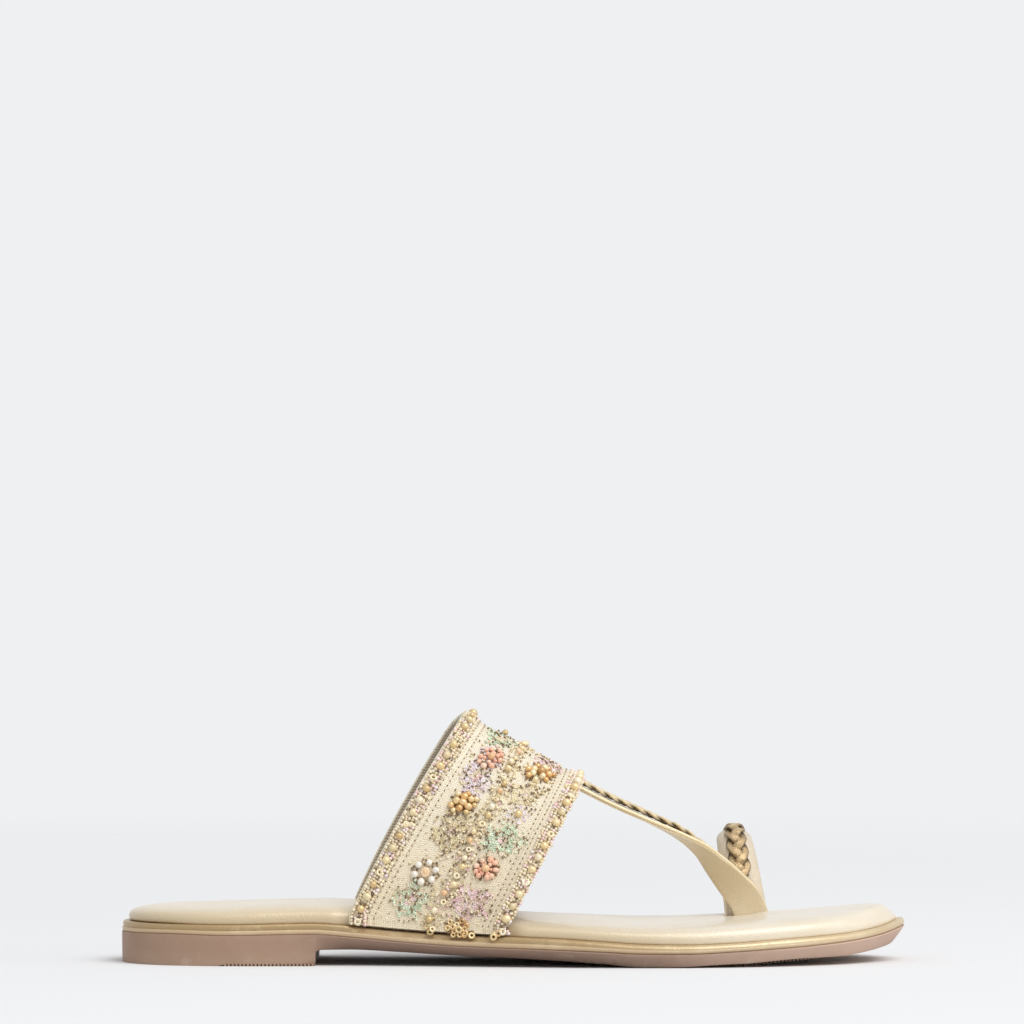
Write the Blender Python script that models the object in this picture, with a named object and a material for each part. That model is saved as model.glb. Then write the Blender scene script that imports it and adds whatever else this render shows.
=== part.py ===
"""Kolhapuri sandal, right shoe: rubber sole unit, wrapped rim, padded footbed, upper and two braids.

Run in Blender 4.5. Units are metres, +Z up. +X points to the toe, +Y to the inner (big toe) side.
The origin is on the ground, under the middle of the sole's box. Tables are in millimetres, with
"along" measured from the heel's back and "across" from the heel's middle.
"""

import math

import bmesh
import bpy
import numpy as np

MM = 0.001
LENGTH = 250.0  # heel back to toe tip
GAP = 0.3  # clearance between neighbouring pieces
UPPER_WALL = 2.2  # canvas, filler and lining together
STRAP_THICKNESS = 2.4
LOOP_THICKNESS = 2.0
BRAID_HEIGHT = 1.6
STRAP_BRAID_WIDTH = 7.0
LOOP_BRAID_WIDTH = 8.0

# The sole's outline, clockwise from above: place, along, across.
OUTLINE = (
    ("heel back", 0.0, 0.0),
    ("heel back inner", 8.0, 20.6),
    ("heel inner", 29.0, 30.2),
    ("heel front inner", 60.0, 28.6),
    ("waist inner", 95.0, 26.2),
    ("arch inner", 132.0, 32.6),
    ("ball inner", 172.0, 42.8),
    ("big toe inner", 205.0, 43.0),
    ("big toe tip inner", 236.0, 33.0),
    ("toe tip", 250.0, 7.0),
    ("toe tip outer", 239.0, -18.0),
    ("small toes", 216.0, -33.5),
    ("small toe", 186.0, -42.0),
    ("ball outer", 154.0, -43.6),
    ("arch outer", 122.0, -39.4),
    ("waist outer", 92.0, -34.0),
    ("heel front outer", 60.0, -31.2),
    ("heel outer", 29.0, -30.4),
    ("heel back outer", 8.0, -20.6),
)

# Heights above the ground: along, outsole's bottom, outsole's top, rim's top, footbed's top,
# outsole's bottom edge set in from the outline.
PROFILE = (
    (0.0, 0.0, 9.8, 13.1, 18.0, 0.7),
    (16.0, 0.0, 10.0, 13.0, 18.4, 0.7),
    (33.0, 0.0, 9.6, 12.9, 18.6, 0.7),
    (62.5, 0.0, 10.0, 13.4, 19.4, 0.7),
    (63.0, 4.4, 10.0, 13.4, 19.4, 0.7),
    (64.5, 5.0, 9.9, 13.3, 19.5, 0.7),
    (73.0, 5.1, 9.2, 12.7, 19.4, 0.7),
    (89.0, 4.4, 7.8, 11.3, 18.0, 0.7),
    (105.0, 3.5, 6.7, 10.3, 16.4, 0.7),
    (140.0, 1.9, 5.5, 9.1, 14.3, 0.7),
    (154.0, 0.9, 4.9, 8.2, 13.6, 0.8),
    (165.0, 0.0, 4.4, 7.5, 13.2, 0.9),
    (180.0, 0.0, 4.3, 7.2, 13.3, 1.0),
    (195.0, 0.0, 4.9, 7.7, 14.0, 1.3),
    (209.0, 0.9, 5.7, 8.6, 14.9, 1.8),
    (222.0, 1.9, 6.6, 9.4, 15.9, 2.4),
    (233.0, 3.0, 7.7, 10.3, 17.1, 3.0),
    (242.0, 4.5, 9.2, 11.7, 17.8, 3.6),
    (250.0, 6.4, 11.4, 14.0, 18.4, 4.2),
)

OUTLINE_SAMPLES = 60  # from one point of the outline to the next
HEEL_ROUND = 28.0  # the heel's rounded end, where cross lines crowd together
TOE_ROUND = 44.0  # the toe's rounded end
ROUND_LINES = 10  # cross lines in each rounded end
BREAST_LINES = (62.4, 63.0, 64.5, 68.0)  # the heel block's front and its cove
MIDDLE_STEP = 7.6  # spacing of the other cross lines
FLAT_LINES = (165.0, 195.0)  # the ends of the forepart's flat spot

OUTSOLE_EDGE = 0.6  # the rounding along the outsole's lower and upper edges
OUTSOLE_TOP_INSET = 0.2
# The rim's softly rounded edge: set in from the outline, share of its thickness.
RIM_ROLL = (
    (0.5, 0.0),
    (0.0, 0.18),
    (0.0, 0.62),
    (0.3, 0.9),
    (1.0, 1.0),
)
BED_INSET = 2.2  # the footbed's edge from the rim's
# The footbed's rounded side and domed top: set in from its edge, share of its thickness.
BED_ROLL = (
    (0.3, 0.0),
    (0.0, 0.10),
    (0.0, 0.36),
    (0.8, 0.58),
    (2.4, 0.75),
    (5.0, 0.87),
    (9.5, 0.95),
    (16.0, 0.985),
    (23.0, 1.0),
)

# The vamp band, back edge and front edge: base along, crest along, crest up, straightness of the lean.
BAND_BACK = (73.6, 109.4, 78.8, 0.85)
BAND_FRONT = (122.5, 146.4, 58.2, 1.0)
BAND_CREST_ACROSS = 1.0
BAND_SKEW = 2.0  # the inner half's back edge lies this far behind the outer half's, below the crest
BAND_SKEW_REACH = 0.55  # share of the way down from the crest where the skew is whole
BAND_INSET = 0.9  # the band's outer face from the sole's outline
BAND_FULLNESS = 2.4  # exponent of the arch: 2 is an ellipse, more is squarer
BAND_MARGIN = 9.0  # turned in under the footbed
BAND_CORNER = 0.7
BAND_RISE = 0.9  # straight stretch between the turned margin and the arch
RECESS_FRONT_ROOM = 1.0  # the band's inner face leans past its base here
RECESS_STEPS = 8
RECESS_OVERRUN = 2.0  # how far a cutter runs past what it cuts
BAND_ROWS = 34
BAND_COLUMNS = 8

# The centre strap's middle line: along, across, up, twist in degrees, width.
STRAP = (
    (134.5, 1.0, 61.45, 0.0, 11.0),
    (144.9, 1.0, 55.5, 0.0, 11.0),
    (156.0, 2.2, 49.8, 0.0, 11.0),
    (168.0, 4.0, 44.3, 2.0, 10.8),
    (178.0, 6.0, 39.5, 9.0, 10.6),
    (185.2, 7.6, 34.8, 24.0, 10.6),
    (190.0, 8.9, 29.7, 43.0, 10.6),
    (195.4, 10.3, 23.5, 66.0, 10.6),
    (199.8, 11.3, 17.8, 84.0, 10.8),
    (201.2, 11.6, 13.8, 90.0, 11.0),
    (201.5, 11.6, 9.2, 90.0, 11.0),
)
STRAP_SECTIONS = 40
STRAP_BRAID_SECTIONS = (7, 26)  # the sections of the strap that the braid covers

# The toe ring's middle line: outer leg across, inner leg across, foot up, arch's foot up, top up.
LOOP_OUTER_LEG = 13.6
LOOP_INNER_LEG = 36.2
LOOP_FOOT_UP = 9.0
LOOP_ARCH_UP = 17.0
LOOP_TOP_UP = 40.2
LOOP_FULLNESS = 2.3
LOOP_FOOT_ALONG = 200.65
LOOP_LEAN = 4.6  # the top leans back this far
LOOP_FOOT_WIDTH = 13.6
LOOP_TOP_WIDTH = 11.3
LOOP_LEG_SHARE = 0.12  # the straight part of each leg, as a share of the ring's length
LOOP_SECTIONS = 34
LOOP_BRAID_SECTIONS = (8, 31)  # the sections of the ring that the braid covers

STRIP_CORNER = 0.5  # chamfer on the edges of strap and ring
BRAID_SIDES = 6  # facets over a braid's rounded top
BRAID_SQUARENESS = 0.7  # 1 is a half circle, less has steeper sides
SLOT_DEPTH = 16.0
SLOT_BACK_ROOM = 1.2  # the ring's legs lean back as they leave the footbed

COLOURS = {  # base colour, roughness, metallic
    "outsole": ((0.36, 0.22, 0.16), 0.6, 0.0),
    "rim": ((0.58, 0.42, 0.22), 0.35, 0.6),
    "footbed": ((0.74, 0.64, 0.45), 0.5, 0.1),
    "upper": ((0.82, 0.72, 0.52), 0.7, 0.0),
    "braid": ((0.42, 0.29, 0.12), 0.4, 0.5),
}


def smooth_table(rows, column):
    """A curve through one column of a table, by its first column, with no overshoot."""
    x = np.array([row[0] for row in rows], float)
    y = np.array([row[column] for row in rows], float)
    step = np.diff(x)
    slope = np.diff(y) / step
    tangent = np.zeros_like(y)
    tangent[0] = slope[0]
    tangent[-1] = slope[-1]
    for i in range(1, len(x) - 1):
        if slope[i - 1] * slope[i] > 0:
            before = 2 * step[i] + step[i - 1]
            after = step[i] + 2 * step[i - 1]
            tangent[i] = (before + after) / (before / slope[i - 1] + after / slope[i])

    def value(at):
        i = int(np.clip(np.searchsorted(x, at) - 1, 0, len(step) - 1))
        t = (at - x[i]) / step[i]
        start = (1 + 2 * t) * (1 - t) ** 2 * y[i] + t * (1 - t) ** 2 * step[i] * tangent[i]
        end = t * t * (3 - 2 * t) * y[i + 1] + t * t * (t - 1) * step[i] * tangent[i + 1]
        return float(start + end)

    return value


def closed_spline(points, samples):
    """Samples of the smooth closed curve through the points, and its unit tangents there."""
    points = np.array(points, float)
    count = len(points)
    chord = np.linalg.norm(np.roll(points, -1, axis=0) - points, axis=1)
    system = np.zeros((count, count))
    right = np.zeros_like(points)
    for i in range(count):
        before = chord[i - 1]
        after = chord[i]
        ahead = (points[(i + 1) % count] - points[i]) / after
        behind = (points[i] - points[i - 1]) / before
        system[i, i - 1] += after
        system[i, i] += 2 * (before + after)
        system[i, (i + 1) % count] += before
        right[i] = 3 * (after * behind + before * ahead)
    tangents = np.linalg.solve(system, right)
    places = []
    directions = []
    for i in range(count):
        j = (i + 1) % count
        for t in np.arange(samples) / samples:
            place = (
                (1 + 2 * t) * (1 - t) ** 2 * points[i]
                + t * (1 - t) ** 2 * chord[i] * tangents[i]
                + t * t * (3 - 2 * t) * points[j]
                + t * t * (t - 1) * chord[i] * tangents[j]
            )
            direction = (
                6 * t * (t - 1) * points[i]
                + (1 - t) * (1 - 3 * t) * chord[i] * tangents[i]
                + 6 * t * (1 - t) * points[j]
                + t * (3 * t - 2) * chord[i] * tangents[j]
            )
            places.append(place)
            directions.append(direction / np.linalg.norm(direction))
    return np.array(places), np.array(directions)


class Outline:
    """The sole's outline as two sides, each a function of the place along the sole."""

    def __init__(self):
        places, directions = closed_spline([row[1:] for row in OUTLINE], OUTLINE_SAMPLES)
        back = int(np.argmin(places[:, 0]))
        places = np.roll(places, -back, axis=0)
        directions = np.roll(directions, -back, axis=0)
        tip = int(np.argmax(places[:, 0]))
        self.first = float(places[0, 0])
        self.last = float(places[tip, 0])
        self.middle = float(places[:, 1].max() + places[:, 1].min()) / 2
        # Clockwise from above, so outward is to the left of the direction of travel.
        outward = np.stack([-directions[:, 1], directions[:, 0]], axis=1)
        self.sides = {}
        self.sides["inner"] = (places[: tip + 1], outward[: tip + 1])
        outer_places = np.concatenate([places[tip:], places[:1]])[::-1]
        outer_outward = np.concatenate([outward[tip:], outward[:1]])[::-1]
        self.sides["outer"] = (outer_places, outer_outward)

    def at(self, along, side, inset):
        """(along, across) of the outline at this place, moved straight in by inset."""
        places, outward = self.sides[side]
        along = min(max(along, self.first), self.last)
        x = np.interp(along, places[:, 0], places[:, 0])
        y = np.interp(along, places[:, 0], places[:, 1])
        nx = np.interp(along, places[:, 0], outward[:, 0])
        ny = np.interp(along, places[:, 0], outward[:, 1])
        size = math.hypot(nx, ny)
        return x - inset * nx / size, y - inset * ny / size


OUTLINE_CURVE = Outline()
OUTSOLE_BOTTOM = smooth_table(PROFILE, 1)
OUTSOLE_TOP = smooth_table(PROFILE, 2)
RIM_TOP = smooth_table(PROFILE, 3)
BED_TOP = smooth_table(PROFILE, 4)
BOTTOM_INSET = smooth_table(PROFILE, 5)


def world(along, across, up):
    """Metres in the object's frame."""
    return (
        (along - LENGTH / 2) * MM,
        (across - OUTLINE_CURVE.middle) * MM,
        up * MM,
    )


def cross_lines():
    """Places along the sole where its layers have a line across, close together at both ends."""
    turn = [1 - math.cos(math.pi / 2 * i / ROUND_LINES) for i in range(ROUND_LINES + 1)]
    heel = [HEEL_ROUND * share for share in turn]
    toe = [LENGTH - TOE_ROUND * share for share in turn]
    fixed = sorted({heel[-1], *BREAST_LINES, *FLAT_LINES, toe[-1]})
    lines = set(heel) | set(toe) | set(fixed)
    for start, end in zip(fixed, fixed[1:]):
        parts = max(1, round((end - start) / MIDDLE_STEP))
        for i in range(1, parts):
            lines.add(start + (end - start) * i / parts)
    return sorted(lines)


def ring(inset, up):
    """One loop round the sole; inset and up are functions of the place along."""
    lines = cross_lines()
    inner = []
    outer = []
    for along in lines:
        for side, points in (("inner", inner), ("outer", outer)):
            x, y = OUTLINE_CURVE.at(along, side, inset(along))
            points.append(world(x, y, up(x)))
    return [inner[0], *inner[1:-1], inner[-1], *outer[-2:0:-1]]


def material(name):
    """A Principled material of this name, made once."""
    found = bpy.data.materials.get(name)
    if found:
        return found
    colour, roughness, metallic = COLOURS[name]
    made = bpy.data.materials.new(name)
    made.use_nodes = True
    shader = made.node_tree.nodes["Principled BSDF"]
    shader.inputs["Base Color"].default_value = (*colour, 1.0)
    shader.inputs["Roughness"].default_value = roughness
    shader.inputs["Metallic"].default_value = metallic
    return made


def mesh_object(name, vertices, faces, finish, collection):
    """A smooth-shaded object with outward faces, in the collection."""
    data = bpy.data.meshes.new(name)
    data.from_pydata(vertices, [], faces)
    work = bmesh.new()
    work.from_mesh(data)
    bmesh.ops.recalc_face_normals(work, faces=work.faces)
    bmesh.ops.triangulate(work, faces=work.faces)
    work.to_mesh(data)
    work.free()
    data.shade_smooth()
    data.set_sharp_from_angle(angle=math.radians(35))
    if finish:
        data.materials.append(material(finish))
    made = bpy.data.objects.new(name, data)
    collection.objects.link(made)
    return made


def slab(name, rings, finish, collection):
    """A closed layer of the sole: rings from its bottom to its top, and a ladder across each end."""
    count = len(rings[0])
    vertices = [point for loop in rings for point in loop]
    faces = []
    for level in range(len(rings) - 1):
        low = level * count
        high = low + count
        for i in range(count):
            j = (i + 1) % count
            faces.append((low + i, low + j, high + j, high + i))
    half = count // 2
    for start in (0, (len(rings) - 1) * count):
        faces.append((start, start + 1, start + count - 1))
        for i in range(1, half - 1):
            faces.append((start + i, start + i + 1, start + count - i - 1, start + count - i))
        faces.append((start + half - 1, start + half, start + half + 1))
    return mesh_object(name, vertices, faces, finish, collection)


def loft(name, sections, finish, collection):
    """A closed strip through like sections, with a face over each end."""
    count = len(sections[0])
    vertices = [point for section in sections for point in section]
    faces = []
    for k in range(len(sections) - 1):
        for i in range(count):
            j = (i + 1) % count
            faces.append((k * count + i, k * count + j, (k + 1) * count + j, (k + 1) * count + i))
    faces.append(tuple(range(count)))
    faces.append(tuple(range((len(sections) - 1) * count, len(sections) * count)))
    return mesh_object(name, vertices, faces, finish, collection)


def boolean(target, other, operation):
    """An exact Boolean with an object that is left out of the render."""
    modifier = target.modifiers.new(operation.lower() + " " + other.name, "BOOLEAN")
    modifier.operation = operation
    modifier.object = other
    modifier.solver = "EXACT"
    other.hide_render = True
    other.display_type = "WIRE"


def level_between(low, high, share, lift=0.0):
    """A height between two heights, as a function of the place along."""
    return lambda along: (low(along) + lift) * (1 - share) + high(along) * share


def build_outsole(collection):
    """Unit sole: heel block, raised waist and forepart, its wall sloping in to the ground."""
    rings = [
        ring(lambda along: BOTTOM_INSET(along) + OUTSOLE_EDGE, OUTSOLE_BOTTOM),
        ring(BOTTOM_INSET, lambda along: OUTSOLE_BOTTOM(along) + OUTSOLE_EDGE),
        ring(lambda along: 0.0, lambda along: OUTSOLE_TOP(along) - OUTSOLE_EDGE),
        ring(lambda along: OUTSOLE_TOP_INSET, OUTSOLE_TOP),
    ]
    return slab("outsole", rings, "outsole", collection)


def build_rim(collection):
    """The wrapped board between outsole and footbed."""
    rings = []
    for inset, share in RIM_ROLL:
        level = level_between(OUTSOLE_TOP, RIM_TOP, share, GAP)
        rings.append(ring(lambda along, d=inset: d, level))
    return slab("rim", rings, "rim", collection)


def build_footbed(collection, cutters):
    """The padded insole: rounded side, domed top, recesses and slits underneath."""
    rings = []
    for inset, share in BED_ROLL:
        level = level_between(RIM_TOP, BED_TOP, share, GAP)
        rings.append(ring(lambda along, d=inset: BED_INSET + d, level))
    bed = slab("footbed", rings, "footbed", collection)
    for side in ("outer", "inner"):
        boolean(bed, build_margin_cutter(side, cutters), "DIFFERENCE")
    for cutter in build_slot_cutters(cutters):
        boolean(bed, cutter, "DIFFERENCE")
    return bed


def band_frame(share):
    """Base along, crest along, crest up and lean's straightness at a share of the band's width."""
    return [a + (b - a) * share for a, b in zip(BAND_BACK, BAND_FRONT)]


def band_point(turn, share):
    """The band's outer face at an angle from its outer base (0) over the crest to its inner base."""
    base_along, crest_along, crest_up, straight = band_frame(share)
    side = "outer" if turn < math.pi / 2 else "inner"
    base_across = OUTLINE_CURVE.at(base_along, side, BAND_INSET)[1]
    base_up = RIM_TOP(base_along) + GAP + UPPER_WALL + BAND_RISE
    power = 2 / BAND_FULLNESS
    rise = max(math.sin(turn), 0.0) ** power
    reach = abs(math.cos(turn)) ** power
    lean = straight * rise + (1 - straight) * rise * rise
    skew = 0.0
    if side == "inner":
        ease = min(reach / BAND_SKEW_REACH, 1.0)
        skew = BAND_SKEW * (1 - share) * math.sqrt(rise) * ease * ease * (3 - 2 * ease)
    return np.array(
        (
            base_along + (crest_along - base_along) * lean - skew,
            BAND_CREST_ACROSS + (base_across - BAND_CREST_ACROSS) * reach,
            base_up + (crest_up - base_up) * rise,
        )
    )


def band_outward(turn, share):
    """The band's unit normal, away from the foot."""
    small = 0.01
    round_it = band_point(min(turn + small, math.pi), share) - band_point(max(turn - small, 0), share)
    along_it = band_point(turn, min(share + small, 1)) - band_point(turn, max(share - small, 0))
    normal = np.cross(along_it, round_it)
    return normal / np.linalg.norm(normal)


def band_rows(share):
    """(outer points, inner points) across the band, from one turned-in margin to the other."""
    base_along = band_frame(share)[0]
    floor = RIM_TOP(base_along) + GAP
    outer = []
    inner = []
    for side, inward in (("outer", 1), ("inner", -1)):
        across = OUTLINE_CURVE.at(base_along, side, BAND_INSET)[1]
        low = [
            (across + inward * BAND_MARGIN, floor),
            (across + inward * BAND_CORNER, floor),
            (across, floor + BAND_CORNER),
        ]
        high = [
            (across + inward * BAND_MARGIN, floor + UPPER_WALL),
            (across + inward * (UPPER_WALL + BAND_CORNER), floor + UPPER_WALL),
            (across + inward * UPPER_WALL, floor + UPPER_WALL + BAND_CORNER / 2),
        ]
        if side == "outer":
            outer = [(base_along, *place) for place in low]
            inner = [(base_along, *place) for place in high]
            for i in range(BAND_ROWS + 1):
                turn = math.pi * i / BAND_ROWS
                point = band_point(turn, share)
                outer.append(tuple(point))
                inner.append(tuple(point - UPPER_WALL * band_outward(turn, share)))
        else:
            outer += [(base_along, *place) for place in reversed(low)]
            inner += [(base_along, *place) for place in reversed(high)]
    return outer, inner


def build_band(collection):
    """The vamp band as one closed sheet of even wall."""
    columns = [band_rows(i / BAND_COLUMNS) for i in range(BAND_COLUMNS + 1)]
    sections = []
    for outer, inner in columns:
        sections.append([world(*point) for point in [*outer, *reversed(inner)]])
    count = len(sections[0])
    vertices = [point for section in sections for point in section]
    faces = []
    for k in range(len(sections) - 1):
        for i in range(count):
            j = (i + 1) % count
            faces.append((k * count + i, k * count + j, (k + 1) * count + j, (k + 1) * count + i))
    for start in (0, (len(sections) - 1) * count):
        for i in range(count // 2 - 1):
            faces.append((start + i, start + i + 1, start + count - 2 - i, start + count - 1 - i))
    return mesh_object("vamp_band", vertices, faces, "upper", collection)


def strip_section(centre, normal, side, width, thickness):
    """Eight points of a flat strip's section, with its edges chamfered."""
    w = width / 2
    t = thickness / 2
    c = STRIP_CORNER
    corners = (
        (-w, -t + c),
        (-w + c, -t),
        (w - c, -t),
        (w, -t + c),
        (w, t - c),
        (w - c, t),
        (-w + c, t),
        (-w, t - c),
    )
    return [world(*(centre + s * side + n * normal)) for s, n in corners]


def braid_section(centre, normal, side, width, height):
    """A low half-round bar's section, flat face down."""
    points = []
    for i in range(BRAID_SIDES + 1):
        turn = math.pi * i / BRAID_SIDES
        rise = height * max(math.sin(turn), 0.0) ** BRAID_SQUARENESS
        points.append(world(*(centre + width / 2 * math.cos(turn) * side + rise * normal)))
    return points


def strap_curves():
    """Along, across, up, twist and width of the strap, each by the share of its length."""
    places = np.array([row[:3] for row in STRAP])
    run = np.concatenate([[0.0], np.cumsum(np.linalg.norm(np.diff(places, axis=0), axis=1))])
    rows = [(share, *row) for share, row in zip(run / run[-1], STRAP)]
    return [smooth_table(rows, column) for column in range(1, 6)]


def strap_frame(share):
    """Centre, normal, sideways direction and width of the strap at a share of its length."""
    curves = strap_curves()

    def centre(at):
        return np.array([curve(min(max(at, 0.0), 1.0)) for curve in curves[:3]])

    small = 0.01
    travel = centre(share + small) - centre(share - small)
    travel /= np.linalg.norm(travel)
    level = np.array((0.0, 1.0, 0.0))
    level -= travel * (level @ travel)
    level /= np.linalg.norm(level)
    up = np.cross(travel, level)
    twist = math.radians(curves[3](share))
    normal = math.cos(twist) * up + math.sin(twist) * level
    side = math.cos(twist) * level - math.sin(twist) * up
    return centre(share), normal, side, curves[4](share)


def build_strap(collection):
    """The centre strap: flat under the vamp, turned on edge at the toe post."""
    sections = []
    for i in range(STRAP_SECTIONS + 1):
        centre, normal, side, width = strap_frame(i / STRAP_SECTIONS)
        sections.append(strip_section(centre, normal, side, width, STRAP_THICKNESS))
    return loft("centre_strap", sections, "upper", collection)


def loop_centre(share):
    """The ring's middle line: up the outer leg, over the toe, down the inner leg."""
    leg = LOOP_ARCH_UP - LOOP_FOOT_UP
    middle = (LOOP_OUTER_LEG + LOOP_INNER_LEG) / 2
    reach = (LOOP_INNER_LEG - LOOP_OUTER_LEG) / 2
    if share < LOOP_LEG_SHARE:
        across = LOOP_OUTER_LEG
        up = LOOP_FOOT_UP + leg * share / LOOP_LEG_SHARE
    elif share > 1 - LOOP_LEG_SHARE:
        across = LOOP_INNER_LEG
        up = LOOP_FOOT_UP + leg * (1 - share) / LOOP_LEG_SHARE
    else:
        turn = math.pi * (share - LOOP_LEG_SHARE) / (1 - 2 * LOOP_LEG_SHARE)
        power = 2 / LOOP_FULLNESS
        side = -1 if turn < math.pi / 2 else 1
        across = middle + side * reach * abs(math.cos(turn)) ** power
        up = LOOP_ARCH_UP + (LOOP_TOP_UP - LOOP_ARCH_UP) * max(math.sin(turn), 0.0) ** power
    back = LOOP_LEAN * (up - LOOP_FOOT_UP) / (LOOP_TOP_UP - LOOP_FOOT_UP)
    return np.array((LOOP_FOOT_ALONG - back, across, up))


def loop_frame(share):
    """Centre, outward normal, sideways direction and width of the toe ring."""
    small = 0.006
    travel = loop_centre(min(share + small, 1)) - loop_centre(max(share - small, 0))
    travel /= np.linalg.norm(travel)
    side = np.array((1.0, 0.0, 0.0))
    side -= travel * (side @ travel)
    side /= np.linalg.norm(side)
    normal = np.cross(side, travel)
    centre = loop_centre(share)
    rise = (centre[2] - LOOP_FOOT_UP) / (LOOP_TOP_UP - LOOP_FOOT_UP)
    width = LOOP_FOOT_WIDTH + (LOOP_TOP_WIDTH - LOOP_FOOT_WIDTH) * rise
    return centre, normal, side, width


def build_loop(collection):
    """The ring for the big toe."""
    sections = []
    for i in range(LOOP_SECTIONS + 1):
        centre, normal, side, width = loop_frame(i / LOOP_SECTIONS)
        sections.append(strip_section(centre, normal, side, width, LOOP_THICKNESS))
    return loft("toe_ring", sections, "upper", collection)


def build_upper(collection, cutters):
    """Vamp band, centre strap and toe ring, joined where they cross."""
    upper = build_band(collection)
    upper.name = "upper"
    boolean(upper, build_strap(cutters), "UNION")
    boolean(upper, build_loop(cutters), "UNION")
    return upper


def build_strap_braid(collection):
    """A low bar along the strap's upper face, from the vamp's front edge to the toe post."""
    sections = []
    for i in range(STRAP_BRAID_SECTIONS[0], STRAP_BRAID_SECTIONS[1] + 1):
        centre, normal, side, _ = strap_frame(i / STRAP_SECTIONS)
        seat = centre + normal * (STRAP_THICKNESS / 2 + GAP)
        sections.append(braid_section(seat, normal, side, STRAP_BRAID_WIDTH, BRAID_HEIGHT))
    return loft("strap_braid", sections, "braid", collection)


def build_loop_braid(collection):
    """A low bar over the toe ring's outer face."""
    sections = []
    for i in range(LOOP_BRAID_SECTIONS[0], LOOP_BRAID_SECTIONS[1] + 1):
        centre, normal, side, _ = loop_frame(i / LOOP_SECTIONS)
        seat = centre + normal * (LOOP_THICKNESS / 2 + GAP)
        sections.append(braid_section(seat, normal, side, LOOP_BRAID_WIDTH, BRAID_HEIGHT))
    return loft("loop_braid", sections, "braid", collection)


def build_margin_cutter(side, collection):
    """The room that a turned-in margin and the wall above it need in the footbed."""
    inward = 1 if side == "outer" else -1
    sections = []
    start = BAND_BACK[0] - GAP
    end = BAND_FRONT[0] + RECESS_FRONT_ROOM
    for i in range(RECESS_STEPS + 1):
        along = start + (end - start) * i / RECESS_STEPS
        across = OUTLINE_CURVE.at(along, side, BAND_INSET)[1]
        floor = RIM_TOP(along) - RECESS_OVERRUN
        step_up = RIM_TOP(along) + 2 * GAP + UPPER_WALL
        top = BED_TOP(along) + RECESS_OVERRUN
        wall = UPPER_WALL + GAP
        outline = (
            (across - inward * RECESS_OVERRUN, floor),
            (across + inward * (BAND_MARGIN + GAP), floor),
            (across + inward * (BAND_MARGIN + GAP), step_up),
            (across + inward * (wall + BAND_CORNER), step_up),
            (across + inward * wall, step_up + BAND_CORNER),
            (across + inward * wall, top),
            (across - inward * RECESS_OVERRUN, top),
        )
        sections.append([world(along, *place) for place in outline])
    return loft("cut_margin_" + side, sections, None, collection)


def build_slot_cutters(collection):
    """Slits for the toe post, where strap and ring go down together, and for the ring's inner leg."""
    post_low = STRAP[-1][1] - STRAP_THICKNESS / 2
    post_high = LOOP_OUTER_LEG + LOOP_THICKNESS / 2
    leg_low = LOOP_INNER_LEG - LOOP_THICKNESS / 2
    leg_high = LOOP_INNER_LEG + LOOP_THICKNESS / 2
    width = LOOP_FOOT_WIDTH + SLOT_BACK_ROOM + 2 * GAP
    along = LOOP_FOOT_ALONG - SLOT_BACK_ROOM / 2
    made = []
    for name, low, high in (("cut_post", post_low, post_high), ("cut_leg", leg_low, leg_high)):
        box = bmesh.new()
        bmesh.ops.create_cube(box, size=MM)
        size = (width, high - low + 2 * GAP, SLOT_DEPTH)
        bmesh.ops.scale(box, vec=size, verts=box.verts)
        data = bpy.data.meshes.new(name)
        box.to_mesh(data)
        box.free()
        cutter = bpy.data.objects.new(name, data)
        cutter.location = world(along, (low + high) / 2, RIM_TOP(along) + SLOT_DEPTH / 4)
        collection.objects.link(cutter)
        made.append(cutter)
    return made


def new_collection(name):
    """A collection in the scene."""
    made = bpy.data.collections.new(name)
    bpy.context.scene.collection.children.link(made)
    return made


def main():
    """Clears the scene and builds the sandal."""
    for old in list(bpy.data.objects):
        bpy.data.objects.remove(old)
    parts = new_collection("kolhapuri sandal")
    cutters = new_collection("cutters")
    build_outsole(parts)
    build_rim(parts)
    build_footbed(parts, cutters)
    build_upper(parts, cutters)
    build_strap_braid(parts)
    build_loop_braid(parts)


main()
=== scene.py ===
"""Kolhapuri sandal, right shoe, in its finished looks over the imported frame.

A rubber sole unit, a wrapped rim in two layers, a padded footbed, a beaded canvas vamp with its lining,
a centre strap, a toe ring and two leather plaits stand on a pale studio floor. Tables are in
millimetres: "along" runs from the heel's back to the toe, "across" from the sole's middle line to the
inner side, and "up" from the ground. A place on the vamp is given by its side, its height along the
cloth from that side's lower edge, and its share of the band's width from the back edge.
"""

import logging
import math
from dataclasses import dataclass, field
from enum import Enum
from typing import Callable, ClassVar, Optional, Sequence, Union

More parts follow.
